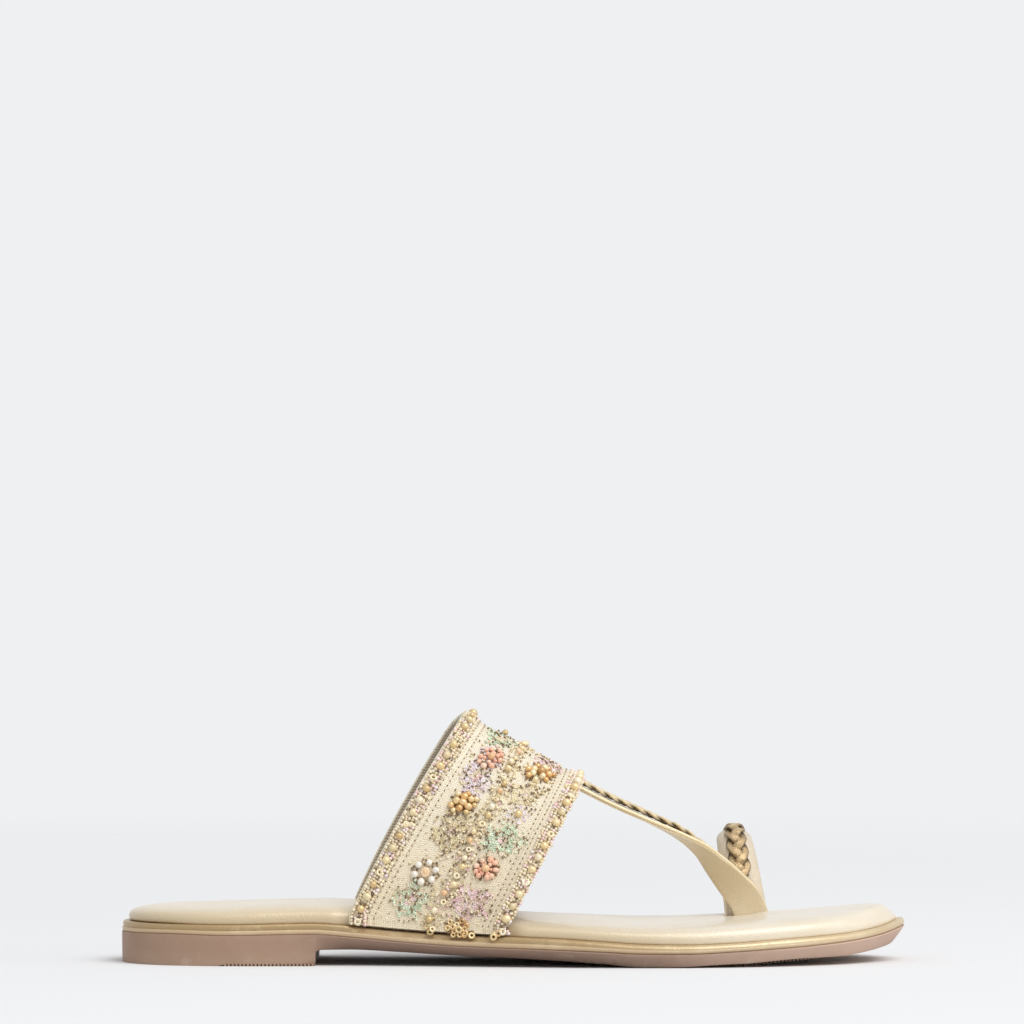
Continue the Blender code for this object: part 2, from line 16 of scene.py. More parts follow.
import bmesh
import bpy
import numpy as np
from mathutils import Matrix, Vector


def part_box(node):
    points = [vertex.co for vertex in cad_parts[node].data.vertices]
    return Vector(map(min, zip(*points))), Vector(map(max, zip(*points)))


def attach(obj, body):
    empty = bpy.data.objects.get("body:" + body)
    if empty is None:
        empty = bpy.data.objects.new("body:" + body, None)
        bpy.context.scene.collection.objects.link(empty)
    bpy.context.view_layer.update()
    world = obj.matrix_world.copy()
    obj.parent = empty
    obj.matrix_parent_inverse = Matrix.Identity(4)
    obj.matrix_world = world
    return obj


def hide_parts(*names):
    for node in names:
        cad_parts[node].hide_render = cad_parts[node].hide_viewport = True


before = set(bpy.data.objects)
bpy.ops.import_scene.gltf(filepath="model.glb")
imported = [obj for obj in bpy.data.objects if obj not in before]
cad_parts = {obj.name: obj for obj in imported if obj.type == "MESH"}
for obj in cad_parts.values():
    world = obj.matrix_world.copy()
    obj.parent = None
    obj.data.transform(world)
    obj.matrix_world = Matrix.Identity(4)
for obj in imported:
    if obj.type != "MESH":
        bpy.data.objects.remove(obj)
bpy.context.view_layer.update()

Array = np.ndarray
Mesh = tuple[Array, list]
Height = Callable[[Array], Array]
Colour = tuple[int, int, int]
Node = bpy.types.Node
Piece = bpy.types.Object
Socket = bpy.types.NodeSocket
Input = Union[float, Colour, Socket]
log = logging.getLogger("sandal")

MM = 0.001
LENGTH = 250.0

# The sole's outline, clockwise from above: along, across.
OUTLINE = (
    (0.0, 0.0), (8.0, 20.6), (29.0, 30.2), (60.0, 28.6), (95.0, 26.2), (132.0, 32.6), (172.0, 42.8),
    (205.0, 43.0), (236.0, 33.0), (250.0, 7.0), (239.0, -18.0), (216.0, -33.5), (186.0, -42.0),
    (154.0, -43.6), (122.0, -39.4), (92.0, -34.0), (60.0, -31.2), (29.0, -30.4), (8.0, -20.6),
)
# Heights above the ground: along, outsole's bottom, outsole's top, rim's top, footbed's top.
PROFILE = (
    (0.0, 0.0, 9.8, 13.1, 18.0), (16.0, 0.0, 10.0, 13.0, 18.4), (33.0, 0.0, 9.6, 12.9, 18.6),
    (62.2, 0.0, 10.0, 13.4, 19.4), (62.6, 4.4, 10.0, 13.4, 19.4), (64.5, 5.0, 9.9, 13.3, 19.5),
    (73.0, 5.1, 9.2, 12.7, 19.4), (89.0, 4.4, 7.8, 11.3, 18.0), (105.0, 3.5, 6.7, 10.3, 16.4),
    (140.0, 1.9, 5.5, 9.1, 14.3), (154.0, 0.9, 4.9, 8.2, 13.6), (165.0, 0.0, 4.4, 7.5, 13.2),
    (180.0, 0.0, 4.3, 7.2, 13.3), (195.0, 0.0, 4.9, 7.7, 14.0), (209.0, 0.9, 5.7, 8.6, 14.9),
    (222.0, 1.9, 6.6, 9.4, 15.9), (233.0, 3.0, 7.7, 10.3, 17.1), (242.0, 4.5, 9.2, 11.7, 17.8),
    (250.0, 6.4, 11.4, 14.0, 18.4),
)
# The centre strap's middle line: along, across, up, twist in degrees, width.
STRAP_ROWS = (
    (134.5, 1.0, 61.45, 0.0, 11.0), (144.9, 1.0, 55.5, 0.0, 11.0), (156.0, 2.2, 49.8, 0.0, 11.0),
    (168.0, 4.0, 44.3, 2.0, 10.8), (178.0, 6.0, 39.5, 9.0, 10.6), (185.2, 7.6, 34.8, 24.0, 10.6),
    (190.0, 8.9, 29.7, 43.0, 10.6), (195.4, 10.3, 23.5, 66.0, 10.6), (199.8, 11.3, 17.8, 84.0, 10.8),
    (201.2, 11.6, 13.8, 90.0, 11.0), (201.5, 11.6, 9.2, 90.0, 11.0),
)


class Side(Enum):
    """A side of the shoe; the value is the sign of "across" there."""

    OUTER = -1
    INNER = 1


# ------------------------ curves and forms


class SmoothTable:
    """A smooth curve through two columns of a table, with no overshoot."""

    def __init__(self, rows: Sequence[Sequence[float]], column: int = 1) -> None:
        """Prepares the curve.

        Args:
            rows: The table; its first column rises.
            column: The column of values.
        """
        table = np.array(rows, float)
        self.x, self.y = table[:, 0], table[:, column]
        self.step = np.diff(self.x)
        slope = np.diff(self.y) / self.step
        self.tangent = np.zeros_like(self.y)
        self.tangent[[0, -1]] = slope[[0, -1]]
        for i in range(1, len(self.x) - 1):
            if slope[i - 1] * slope[i] > 0:
                before = 2 * self.step[i] + self.step[i - 1]
                after = self.step[i] + 2 * self.step[i - 1]
                self.tangent[i] = (before + after) / (before / slope[i - 1] + after / slope[i])

    def __call__(self, places: Array) -> Array:
        """The curve's values.

        Args:
            places: Where to read it; a place off the table counts as its end.

        Returns:
            The value at each place.
        """
        at = np.clip(np.asarray(places, float), self.x[0], self.x[-1])
        i = np.clip(np.searchsorted(self.x, at) - 1, 0, len(self.step) - 1)
        t = (at - self.x[i]) / self.step[i]
        start = (1 + 2 * t) * (1 - t) ** 2 * self.y[i] + t * (1 - t) ** 2 * self.step[i] * self.tangent[i]
        end = t * t * (3 - 2 * t) * self.y[i + 1] + t * t * (t - 1) * self.step[i] * self.tangent[i + 1]
        return start + end


def smooth_step(share: Array) -> Array:
    """An even ease from 0 to 1, held outside that range."""
    t = np.clip(share, 0.0, 1.0)
    return t * t * (3 - 2 * t)


def bump(place: Array, middle: float, reach: float) -> Array:
    """A soft bump of height 1 at the middle, near 0 beyond its reach."""
    return np.exp(-(((place - middle) / reach) ** 2))


def unit(vectors: Array) -> Array:
    """The vector, or each row of vectors, at length 1."""
    return vectors / np.linalg.norm(vectors, axis=-1, keepdims=True)


def square_to(travel: Array, way: Array) -> Array:
    """The unit direction square to a unit travel that is nearest to the way given."""
    return unit(way - travel * (way @ travel))


def closed_spline(points: Sequence[tuple[float, float]], samples: int) -> tuple[Array, Array]:
    """The smooth closed curve through the points.

    Args:
        points: The curve's own points.
        samples: Samples from one point to the next.

    Returns:
        The samples, and the unit direction of travel at each.
    """
    knots = np.array(points, float)
    after = np.roll(knots, -1, axis=0)
    chord = np.linalg.norm(after - knots, axis=1)
    system = np.diag(2 * (np.roll(chord, 1) + chord))
    right = np.zeros_like(knots)
    for i in range(len(knots)):
        system[i, i - 1] = chord[i]
        system[i, (i + 1) % len(knots)] = chord[i - 1]
        behind = (knots[i] - knots[i - 1]) / chord[i - 1]
        right[i] = 3 * (chord[i] * behind + chord[i - 1] * (after[i] - knots[i]) / chord[i])
    slope = np.linalg.solve(system, right)
    a, b, c = knots[:, None], after[:, None], chord[:, None, None]
    m, n = slope[:, None], np.roll(slope, -1, axis=0)[:, None]
    t = (np.arange(samples) / samples)[None, :, None]
    start = (1 + 2 * t) * (1 - t) ** 2 * a + t * (1 - t) ** 2 * c * m
    places = start + t * t * (3 - 2 * t) * b + t * t * (t - 1) * c * n
    start = 6 * t * (t - 1) * a + (1 - t) * (1 - 3 * t) * c * m
    directions = start + 6 * t * (1 - t) * b + t * (3 * t - 2) * c * n
    return places.reshape(-1, 2), unit(directions).reshape(-1, 2)


class SoleForm:
    """The last's outline and the sole layers' heights, shared by every piece."""

    OUTLINE_SAMPLES = 120
    HEEL_ROUND = 28.0
    TOE_ROUND = 44.0
    LEAST_STEP = 0.02  # cross lines stand at least this far apart
    BLOCK = 2000  # places measured at a time

    def __init__(self) -> None:
        """Works out both sides of the outline and the height curves."""
        places, directions = closed_spline(OUTLINE, self.OUTLINE_SAMPLES)
        back = int(np.argmin(places[:, 0]))
        places, directions = (np.roll(rows, -back, axis=0) for rows in (places, directions))
        tip = int(np.argmax(places[:, 0]))
        self.outline = places
        self.middle = float(places[:, 1].max() + places[:, 1].min()) / 2
        outward = np.stack([-directions[:, 1], directions[:, 0]], axis=1)
        both = (places, outward)
        self.sides = {
            Side.INNER: [rows[: tip + 1] for rows in both],
            Side.OUTER: [np.concatenate([rows[tip:], rows[:1]])[::-1] for rows in both],
        }
        self.bottom, self.top, self.rim, self.bed = (SmoothTable(PROFILE, k) for k in range(1, 5))

    def edge(self, along: Array, side: Side, inset: Union[float, Array]) -> Array:
        """The outline at these places, moved straight in by the inset.

        Args:
            along: Places along the sole.
            side: Which side of the sole.
            inset: How far in, one number or one for each place.

        Returns:
            Rows of along and across.
        """
        places, outward = self.sides[side]
        at = np.clip(np.asarray(along, float), places[0, 0], places[-1, 0])
        found = np.stack([at, np.interp(at, places[:, 0], places[:, 1])], axis=-1)
        normal = np.stack([np.interp(at, places[:, 0], outward[:, k]) for k in (0, 1)], axis=-1)
        return found - np.asarray(inset)[..., None] * unit(normal)

    def lines(self, step: float, rounds: int, extra: Sequence[float] = ()) -> Array:
        """Cross lines along the sole, crowded towards both tips.

        Args:
            step: Spacing of the lines between the rounded ends.
            rounds: Lines in each rounded end.
            extra: More places that need a line.

        Returns:
            The lines' places along the sole, rising.
        """
        turn = 1 - np.cos(np.pi / 2 * np.arange(rounds + 1) / rounds)
        middle = np.arange(self.HEEL_ROUND + step, LENGTH - self.TOE_ROUND - step / 3, step)
        every = np.concatenate([self.HEEL_ROUND * turn, LENGTH - self.TOE_ROUND * turn, middle, extra])
        every = np.unique(np.round(every, 3))
        return every[np.concatenate([[True], np.diff(every) > self.LEAST_STEP])]

    def ring(self, lines: Array, inset: Union[float, Height], up: Height) -> Array:
        """One loop round the sole: up the inner side to the toe, and back by the outer side.

        Args:
            lines: The cross lines.
            inset: How far in from the outline, as a number or by the place along.
            up: The height by the place along.

        Returns:
            The loop's points.
        """
        depth = inset(lines) if callable(inset) else inset
        flats = [self.edge(lines, side, depth) for side in (Side.INNER, Side.OUTER)]
        inner, outer = (np.column_stack([flat, up(flat[:, 0])]) for flat in flats)
        return np.concatenate([inner, outer[-2:0:-1]])

    def inward(self, ring: Array, share: float, up: Height) -> Array:
        """A loop moved towards the sole's spine.

        Args:
            ring: The loop to move.
            share: How far, 1 being the spine itself.
            up: The new height, by the place along.

        Returns:
            The moved loop.
        """
        along = np.clip(ring[:, 0], self.HEEL_ROUND, LENGTH - self.TOE_ROUND)
        across = [self.edge(along, side, 0.0)[:, 1] for side in Side]
        spine = np.column_stack([along, (across[0] + across[1]) / 2])
        flat = ring[:, :2] + share * (spine - ring[:, :2])
        return np.column_stack([flat, up(flat[:, 0])])

    def depth_in(self, flat: Array) -> Array:
        """Distance from the outline.

        Args:
            flat: Places, along and across.

        Returns:
            Each place's distance.
        """
        nearest = np.empty(len(flat))
        for start in range(0, len(flat), self.BLOCK):
            block = flat[start : start + self.BLOCK, None, :] - self.outline[None, :, :]
            nearest[start : start + self.BLOCK] = np.sqrt((block**2).sum(axis=2)).min(axis=1)
        return nearest


SOLE = SoleForm()


@dataclass(frozen=True)
class Spot:
    """A place on the vamp's cloth: the surface point and its three directions."""

    point: Array
    front: Array
    round_it: Array
    away: Array


class VampForm:
    """The vamp band's outer face, arched from the outer side over the crest to the inner side."""

    BACK = (73.6, 109.4, 78.8, 0.85)  # base along, crest along, crest up, straightness of the lean
    FRONT = (122.5, 146.4, 58.2, 1.0)
    CREST_ACROSS = 1.0
    SKEW = 2.0
    SKEW_REACH = 0.55
    INSET = 0.9
    FULLNESS = 2.4
    CLEARANCE = 1.2  # from the rim's top up to the arch's foot, inside the wall
    WALL = 2.2
    DROP = 2.75  # from the arch's foot down to the cloth's lower edge
    TABLE_TURNS = 721
    BORDER = 6.2
    HEM = 0.32  # the doubled cloth of the border stands this far proud
    STITCH_LINES = (5.4, 7.4)

    def __init__(self) -> None:
        """Prepares the tables of length along the cloth."""
        eased = np.linspace(0.0, 1.0, self.TABLE_TURNS)
        self.turns = np.pi * (0.5 - 0.5 * np.cos(np.pi * eased)) * 0.5 + np.pi * eased * 0.5
        self.runs: dict[float, Array] = {}

    def point(self, turn: Array, drop: Array, share: Array) -> Array:
        """Points of the outer face.

        Args:
            turn: Angle from the outer base, 0, over the crest to the inner base, pi.
            drop: How far below the arch's foot, where the turn is at an end.
            share: Share of the band's width.

        Returns:
            Points, in millimetres.
        """
        turn, drop, share = np.broadcast_arrays(*(np.asarray(v, float) for v in (turn, drop, share)))
        base, crest, crest_up, straight = (a + (b - a) * share for a, b in zip(self.BACK, self.FRONT))
        inner = turn > np.pi / 2
        inner_across, outer_across = (
            SOLE.edge(base, side, self.INSET)[..., 1] for side in (Side.INNER, Side.OUTER)
        )
        base_across = np.where(inner, inner_across, outer_across)
        base_up = SOLE.rim(base) + self.CLEARANCE + self.WALL
        power = 2 / self.FULLNESS
        rise = np.clip(np.sin(turn), 0.0, 1.0) ** power
        reach = np.abs(np.cos(turn)) ** power
        lean = straight * rise + (1 - straight) * rise * rise
        skew = self.SKEW * (1 - share) * np.sqrt(rise) * smooth_step(reach / self.SKEW_REACH) * inner
        along = base + (crest - base) * lean - skew
        across = self.CREST_ACROSS + (base_across - self.CREST_ACROSS) * reach
        return np.stack([along, across, base_up + (crest_up - base_up) * rise - drop], axis=-1)

    def directions(self, turn: Array, drop: Array, share: Array) -> list[Array]:
        """Unit directions on the face.

        Args:
            turn: Angle round the arch.
            drop: How far below the arch's foot.
            share: Share of the band's width.

        Returns:
            The ways away from the foot, to the front edge and along the arch.
        """
        small = 0.004
        share = np.asarray(share, float)
        turn = np.clip(np.asarray(turn, float), small, np.pi - small)
        front = self.point(turn, drop, np.minimum(share + small, 1.0))
        front = front - self.point(turn, drop, np.maximum(share - small, 0.0))
        round_it = self.point(turn + small, drop, share) - self.point(turn - small, drop, share)
        return [unit(way) for way in (np.cross(front, round_it), front, round_it)]

    def run_table(self, share: float) -> Array:
        """Length along the cloth from the arch's outer foot.

        Args:
            share: Share of the band's width.

        Returns:
            The length at each of the table's turns.
        """
        key = round(float(share), 3)
        if key not in self.runs:
            steps = np.linalg.norm(np.diff(self.point(self.turns, 0.0, key), axis=0), axis=1)
            self.runs[key] = np.concatenate([[0.0], np.cumsum(steps)])
        return self.runs[key]

    def place(self, side: Side, up: float, share: float) -> tuple[float, float]:
        """Turn and drop of a place on the cloth.

        Args:
            side: The side that the height is measured from.
            up: Height along the cloth.
            share: Share of the band's width.

        Returns:
            The turn, and how far below the arch's foot.
        """
        run = self.run_table(share)
        if up < self.DROP:
            return (0.0 if side is Side.OUTER else math.pi), self.DROP - up
        length = up - self.DROP if side is Side.OUTER else run[-1] - (up - self.DROP)
        return float(np.interp(length, run, self.turns)), 0.0

    def width(self, turn: float) -> float:
        """The band's width at a turn."""
        return float(np.linalg.norm(self.point(turn, 0.0, 1.0) - self.point(turn, 0.0, 0.0)))

    def half_height(self, share: float) -> float:
        """Length of cloth from a lower edge to the crest."""
        return (float(self.run_table(share)[-1]) + 2 * self.DROP) / 2

    def relief(self, from_edge: Array) -> Array:
        """How far the cloth stands off its form.

        Args:
            from_edge: Distances from the nearer edge.

        Returns:
            The height at each: the hem, less the stitches' channels, with a puff between.
        """
        hem = self.HEM * (1 - smooth_step((from_edge - self.BORDER) / 0.45))
        channels = sum(0.16 * bump(from_edge, place, 0.3) for place in self.STITCH_LINES)
        return hem - channels + 0.12 * bump(from_edge, self.BORDER - 3.2, 1.6)

    def spot(self, side: Side, up: float, share: float, lift: float = 0.0) -> Spot:
        """A place on the cloth's outer face.

        Args:
            side: The side that the height is measured from.
            up: Height along the cloth.
            share: Share of the band's width.
            lift: Height above the cloth.

        Returns:
            The spot; past an edge it sinks round the hem.
        """
        wanted, share = share, min(max(share, 0.0), 1.0)
        turn, drop = self.place(side, up, share)
        away, front, round_it = self.directions(turn, drop, share)
        width = self.width(turn)
        from_edge = np.array(min(share, 1 - share) * width)
        point = self.point(turn, drop, share) + away * (float(self.relief(from_edge)) + lift)
        over = (wanted - share) * width
        point += front * over - away * abs(over) * 0.6
        return Spot(point, front, -round_it if side is Side.INNER else round_it, away)


VAMP = VampForm()


@dataclass(frozen=True)
class Section:
    """A strip's cross-section: its centre, the way its face looks, its sideways way, its width."""

    centre: Array
    normal: Array
    side: Array
    width: float

    def raised(self, lift: float) -> "Section":
        """The same section, moved off its face."""
        return Section(self.centre + self.normal * lift, self.normal, self.side, self.width)


class StrapForm:
    """The centre strap's middle line, flat under the vamp and on edge at the toe post."""

    THICKNESS = 2.4
    SMALL = 0.01

    def __init__(self) -> None:
        """Measures the middle line, and lays its table by the share of its length."""
        rows = np.array(STRAP_ROWS)
        run = np.cumsum(np.linalg.norm(np.diff(rows[:, :3], axis=0, prepend=rows[:1, :3]), axis=1))
        table = np.column_stack([run / run[-1], rows])
        self.curves = [SmoothTable(table, column) for column in range(1, 6)]

    def centre(self, share: float) -> Array:
        """The middle line's point at a share of its length."""
        return np.array([float(curve(share)) for curve in self.curves[:3]])

    def section(self, share: float) -> Section:
        """The strap's cross-section.

        Args:
            share: Share of its length.

        Returns:
            The section.
        """
        travel = unit(self.centre(share + self.SMALL) - self.centre(share - self.SMALL))
        level = square_to(travel, np.array((0.0, 1.0, 0.0)))
        upward = np.cross(travel, level)
        twist = math.radians(float(self.curves[3](share)))
        normal = math.cos(twist) * upward + math.sin(twist) * level
        side = math.cos(twist) * level - math.sin(twist) * upward
        return Section(self.centre(share), normal, side, float(self.curves[4](share)))


class RingForm:
    """The toe ring's middle line: up the outer leg, over the toe and down the inner leg."""

    THICKNESS = 2.0
    OUTER_LEG = 13.6
    INNER_LEG = 36.2
    FOOT_UP = 9.0
    ARCH_UP = 17.0
    TOP_UP = 40.2
    FULLNESS = 2.3
    FOOT_ALONG = 200.65
    LEAN = 4.6
    FOOT_WIDTH = 13.6
    TOP_WIDTH = 11.3
    LEG_SHARE = 0.12
    SMALL = 0.006

    def rise(self, up: float) -> float:
        """Share of the ring's height."""
        return (up - self.FOOT_UP) / (self.TOP_UP - self.FOOT_UP)

    def centre(self, share: float) -> Array:
        """The middle line's point.

        Args:
            share: Share of the ring, from the outer foot to the inner foot.

        Returns:
            The point.
        """
        side = -1 if share < 0.5 else 1
        leg = min(share, 1 - share) / self.LEG_SHARE
        middle = (self.OUTER_LEG + self.INNER_LEG) / 2
        reach = (self.INNER_LEG - self.OUTER_LEG) / 2
        up = self.FOOT_UP + (self.ARCH_UP - self.FOOT_UP) * leg
        if leg >= 1:
            turn = math.pi * (share - self.LEG_SHARE) / (1 - 2 * self.LEG_SHARE)
            power = 2 / self.FULLNESS
            reach *= abs(math.cos(turn)) ** power
            up = self.ARCH_UP + (self.TOP_UP - self.ARCH_UP) * max(math.sin(turn), 0.0) ** power
        return np.array((self.FOOT_ALONG - self.LEAN * self.rise(up), middle + side * reach, up))

    def section(self, share: float) -> Section:
        """The ring's cross-section.

        Args:
            share: Share of the ring.

        Returns:
            The section.
        """
        ends = (self.centre(min(share + self.SMALL, 1.0)), self.centre(max(share - self.SMALL, 0.0)))
        travel = unit(ends[0] - ends[1])
        side = square_to(travel, np.array((1.0, 0.0, 0.0)))
        centre = self.centre(share)
        width = self.FOOT_WIDTH + (self.TOP_WIDTH - self.FOOT_WIDTH) * self.rise(centre[2])
        return Section(centre, np.cross(side, travel), side, width)


# ------------------------ mesh making


def to_world(points: Array) -> Array:
    """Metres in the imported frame.

    Args:
        points: Points in the tables' millimetres.

    Returns:
        The points.
    """
    low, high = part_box("outsole")
    origin = np.array((low.x, (low.y + high.y) / 2 - SOLE.middle * MM, low.z))
    return np.asarray(points, float) * MM + origin


def points_of(piece: Piece) -> Array:
    """A mesh's points.

    Args:
        piece: The object.

    Returns:
        The points, in the tables' millimetres.
    """
    points = np.empty(len(piece.data.vertices) * 3)
    piece.data.vertices.foreach_get("co", points)
    return (points.reshape(-1, 3) - to_world(np.zeros(3))) / MM


def linked(name: str, data: object) -> Piece:
    """A new object with this data, put in the scene.

    Args:
        name: Its name.
        data: Its mesh, light or camera.

    Returns:
        The object.
    """
    made = bpy.data.objects.new(name, data)
    bpy.context.scene.collection.objects.link(made)
    return made


def loft(rows: Array, capped: bool = True) -> Mesh:
    """A skin over closed rows of points.

    Args:
        rows: The rows, each with as many points.
        capped: Whether a face closes each end row.

    Returns:
        Points and faces.
    """
    count, columns = rows.shape[:2]
    i = np.arange(count - 1)[:, None] * columns
    j = np.arange(columns)[None, :]
    k = (j + 1) % columns
    faces = np.stack([i + j, i + k, i + columns + k, i + columns + j], axis=-1).reshape(-1, 4).tolist()
    if capped:
        faces += [list(range(columns)), list(range((count - 1) * columns, count * columns))]
    return rows.reshape(-1, 3), faces


def joined(meshes: Sequence[Mesh]) -> Mesh:
    """Several meshes as one.

    Args:
        meshes: Points and faces of each.

    Returns:
        Points and faces.
    """
    faces = []
    base = 0
    for points, own in meshes:
        faces += [[v + base for v in face] for face in own]
        base += len(points)
    return np.concatenate([points for points, _ in meshes]), faces


def build_mesh(name: str, mesh: Mesh, smooth: float = 0.0) -> Piece:
    """An object with this mesh, its faces turned out and shaded smooth.

    Args:
        name: The object's name.
        mesh: Points in the tables' millimetres, and faces.
        smooth: Edges sharper than this angle, in degrees, stay sharp, and near points are welded.
            At 0, neither is done.

    Returns:
        The object.
    """
    data = bpy.data.meshes.new(name)
    data.from_pydata(to_world(mesh[0]).tolist(), [], mesh[1])
    work = bmesh.new()
    work.from_mesh(data)
    if smooth:
        bmesh.ops.remove_doubles(work, verts=work.verts, dist=0.002 * MM)
    bmesh.ops.recalc_face_normals(work, faces=work.faces)
    work.to_mesh(data)
    work.free()
    data.shade_smooth()
    if smooth:
        data.set_sharp_from_angle(angle=math.radians(smooth))
    return linked(name, data)


def skin(name: str, rows: Sequence[Array], smooth: float, capped: bool = False) -> Piece:
    """A closed skin as one object, turned round if its volume says that its faces look in.

    Args:
        name: The object's name.
        rows: Closed rows of points.
        smooth: Edges sharper than this angle, in degrees, stay sharp.
        capped: Whether a face closes each end row.

    Returns:
        The object.
    """
    made = build_mesh(name, loft(np.array(rows), capped), smooth)
    work = bmesh.new()
    work.from_mesh(made.data)
    if work.calc_volume(signed=True) < 0:
        bmesh.ops.reverse_faces(work, faces=work.faces)
        work.to_mesh(made.data)
    work.free()
    return made


def mark(piece: Piece, name: str, values: Array) -> None:
    """Gives each point of the mesh a number that a finish can read."""
    layer = piece.data.attributes.new(name, "FLOAT", "POINT")
    layer.data.foreach_set("value", np.asarray(values).astype(np.float32))


# ------------------------ finishes


def linear(colour: Colour) -> tuple[float, ...]:
    """A screen colour, 0 to 255, as linear light, 0 to 1, with full alpha."""
    shares = (value / 255 for value in colour)
    return (*(c / 12.92 if c <= 0.04045 else ((c + 0.055) / 1.055) ** 2.4 for c in shares), 1.0)


class Bench:
    """Adds nodes to one tree and joins them. An input is a value, a screen colour or another socket."""

    def __init__(self, tree: bpy.types.NodeTree) -> None:
        """Takes the tree to work on."""
        self.tree = tree

    def node(self, kind: str, inputs: Optional[dict] = None, **settings: object) -> Node:
        """One new node.

        Args:
            kind: The node's type, without its "ShaderNode" prefix.
            inputs: What goes in each input.
            settings: The node's own settings.

        Returns:
            The node.
        """
        made = self.tree.nodes.new("ShaderNode" + kind)
        for name, value in settings.items():
            setattr(made, name, value)
        for key, value in (inputs or {}).items():
            self.feed(made.inputs[key], value)
        return made

    def feed(self, socket: Socket, value: Input) -> None:
        """Sets an input, or joins another socket to it.

        Args:
            socket: The input.
            value: What goes in.
        """
        if isinstance(value, Socket):
            self.tree.links.new(value, socket)
        elif socket.type == "RGBA":
            socket.default_value = linear(value)
        else:
            socket.default_value = value

    def maths(self, operation: str, *values: Input, kind: str = "Math") -> Socket:
        """The result of a sum; its kind is "VectorMath" for vectors."""
        return self.node(kind, dict(enumerate(values)), operation=operation).outputs[0]

    def times(self, first: Input, second: Input) -> Socket:
        """The product of two numbers."""
        return self.maths("MULTIPLY", first, second)

    def noise(self, place: Socket, scale: float, detail: float, roughness: float = 0.5,
              output: str = "Fac") -> Socket:
        """A cloudy value over the surface; the output "Color" gives three values at once."""
        inputs = {"Vector": place, "Scale": scale, "Detail": detail, "Roughness": roughness}
        return self.node("TexNoise", inputs).outputs[output]

    def blend(self, share: Input, first: Input, second: Input) -> Socket:
        """A colour between two others."""
        inputs = {"Factor": share, "A": first, "B": second}
        return self.node("Mix", inputs, data_type="RGBA").outputs["Result"]

    def dimmed(self, share: Input, colour: Input, value: float, saturation: float = 1.0) -> Socket:
        """A colour that turns to a darker or deeper one where a share is high."""
        darker = self.node("HueSaturation", {"Color": colour, "Value": value, "Saturation": saturation})
        return self.blend(share, colour, darker.outputs[0])

    def spread(self, value: Input, low: float, high: float, start: float = 0.0, end: float = 1.0) -> Socket:
        """A value moved from the range low to high to the range start to end, held at its ends."""
        inputs = {"Value": value, "From Min": low, "From Max": high, "To Min": start, "To Max": end}
        return self.node("MapRange", inputs).outputs["Result"]

    def place(self) -> Socket:
        """The surface's own place, in metres."""
        return self.node("TexCoord").outputs["Object"]

    def axes(self, place: Socket) -> object:
        """The outputs X, Y and Z of a place."""
        return self.node("SeparateXYZ", {"Vector": place}).outputs

    def marked(self, name: str) -> Socket:
        """The number that the mesh's points are marked with."""
        return self.node("Attribute", attribute_name=name).outputs["Fac"]

    def use(self, name: str, **inputs: Input) -> object:
        """Places a shared effect in this tree, with its own values here, and gives its outputs."""
        group = bpy.data.node_groups.get(name) or EFFECT_MAKERS[name]()
        return self.node("Group", inputs, node_tree=group).outputs

    def shader(self, name: str) -> Socket:
        """An input of the material's shader."""
        return self.tree.nodes["Principled BSDF"].inputs[name]

    def paint(self, value: Input, name: str = "Base Color") -> None:
        """Feeds the shader's colour, or the input named."""
        self.feed(self.shader(name), value)

    def emboss(self, height: Socket, depth: float) -> None:
        """Feeds a height to the shader as relief, depth in metres."""
        self.paint(self.node("Bump", {"Height": height, "Distance": depth}).outputs["Normal"], "Normal")


def effect(name: str, inputs: Sequence[str], outputs: Sequence[str]) -> tuple[Bench, object, object]:
    """A new shader node group. Its input Vector is a vector, and its other sockets are numbers.

    Args:
        name: The group's name.
        inputs: Each input's name.
        outputs: Each output's name.

    Returns:
        A bench on the group, what comes in, and what goes out.
    """
    group = bpy.data.node_groups.new(name, "ShaderNodeTree")
    for way, labels in (("INPUT", inputs), ("OUTPUT", outputs)):
        for label in labels:
            kind = "NodeSocketVector" if label == "Vector" else "NodeSocketFloat"
            group.interface.new_socket(name=label, in_out=way, socket_type=kind)
    start, end = (group.nodes.new(kind) for kind in ("NodeGroupInput", "NodeGroupOutput"))
    return Bench(group), start.outputs, end.inputs


def grain_effect() -> bpy.types.NodeTree:
    """Leather grain: fine pebbles with creases between them, and a slow mottle.

    Returns:
        The group.
    """
    bench, given, out = effect("grain", ("Vector", "Pebble"), ("Height", "Mottle"))
    place = given["Vector"]
    warp = bench.noise(place, 900.0, 2.0, output="Color")
    warp = bench.maths("MULTIPLY", warp, (0.0004, 0.0004, 0.0004), kind="VectorMath")
    moved = bench.maths("ADD", place, warp, kind="VectorMath")
    inputs = {"Vector": moved, "Scale": given["Pebble"]}
    cells = bench.node("TexVoronoi", inputs, feature="DISTANCE_TO_EDGE")
    pebble = bench.spread(cells.outputs["Distance"], 0.0, 0.22)
    fine = bench.times(bench.noise(place, 5200.0, 3.0), 0.35)
    bench.feed(out["Height"], bench.maths("ADD", pebble, fine))
    bench.feed(out["Mottle"], bench.spread(bench.noise(place, 55.0, 4.0, 0.6), 0.3, 0.7))
    return bench.tree


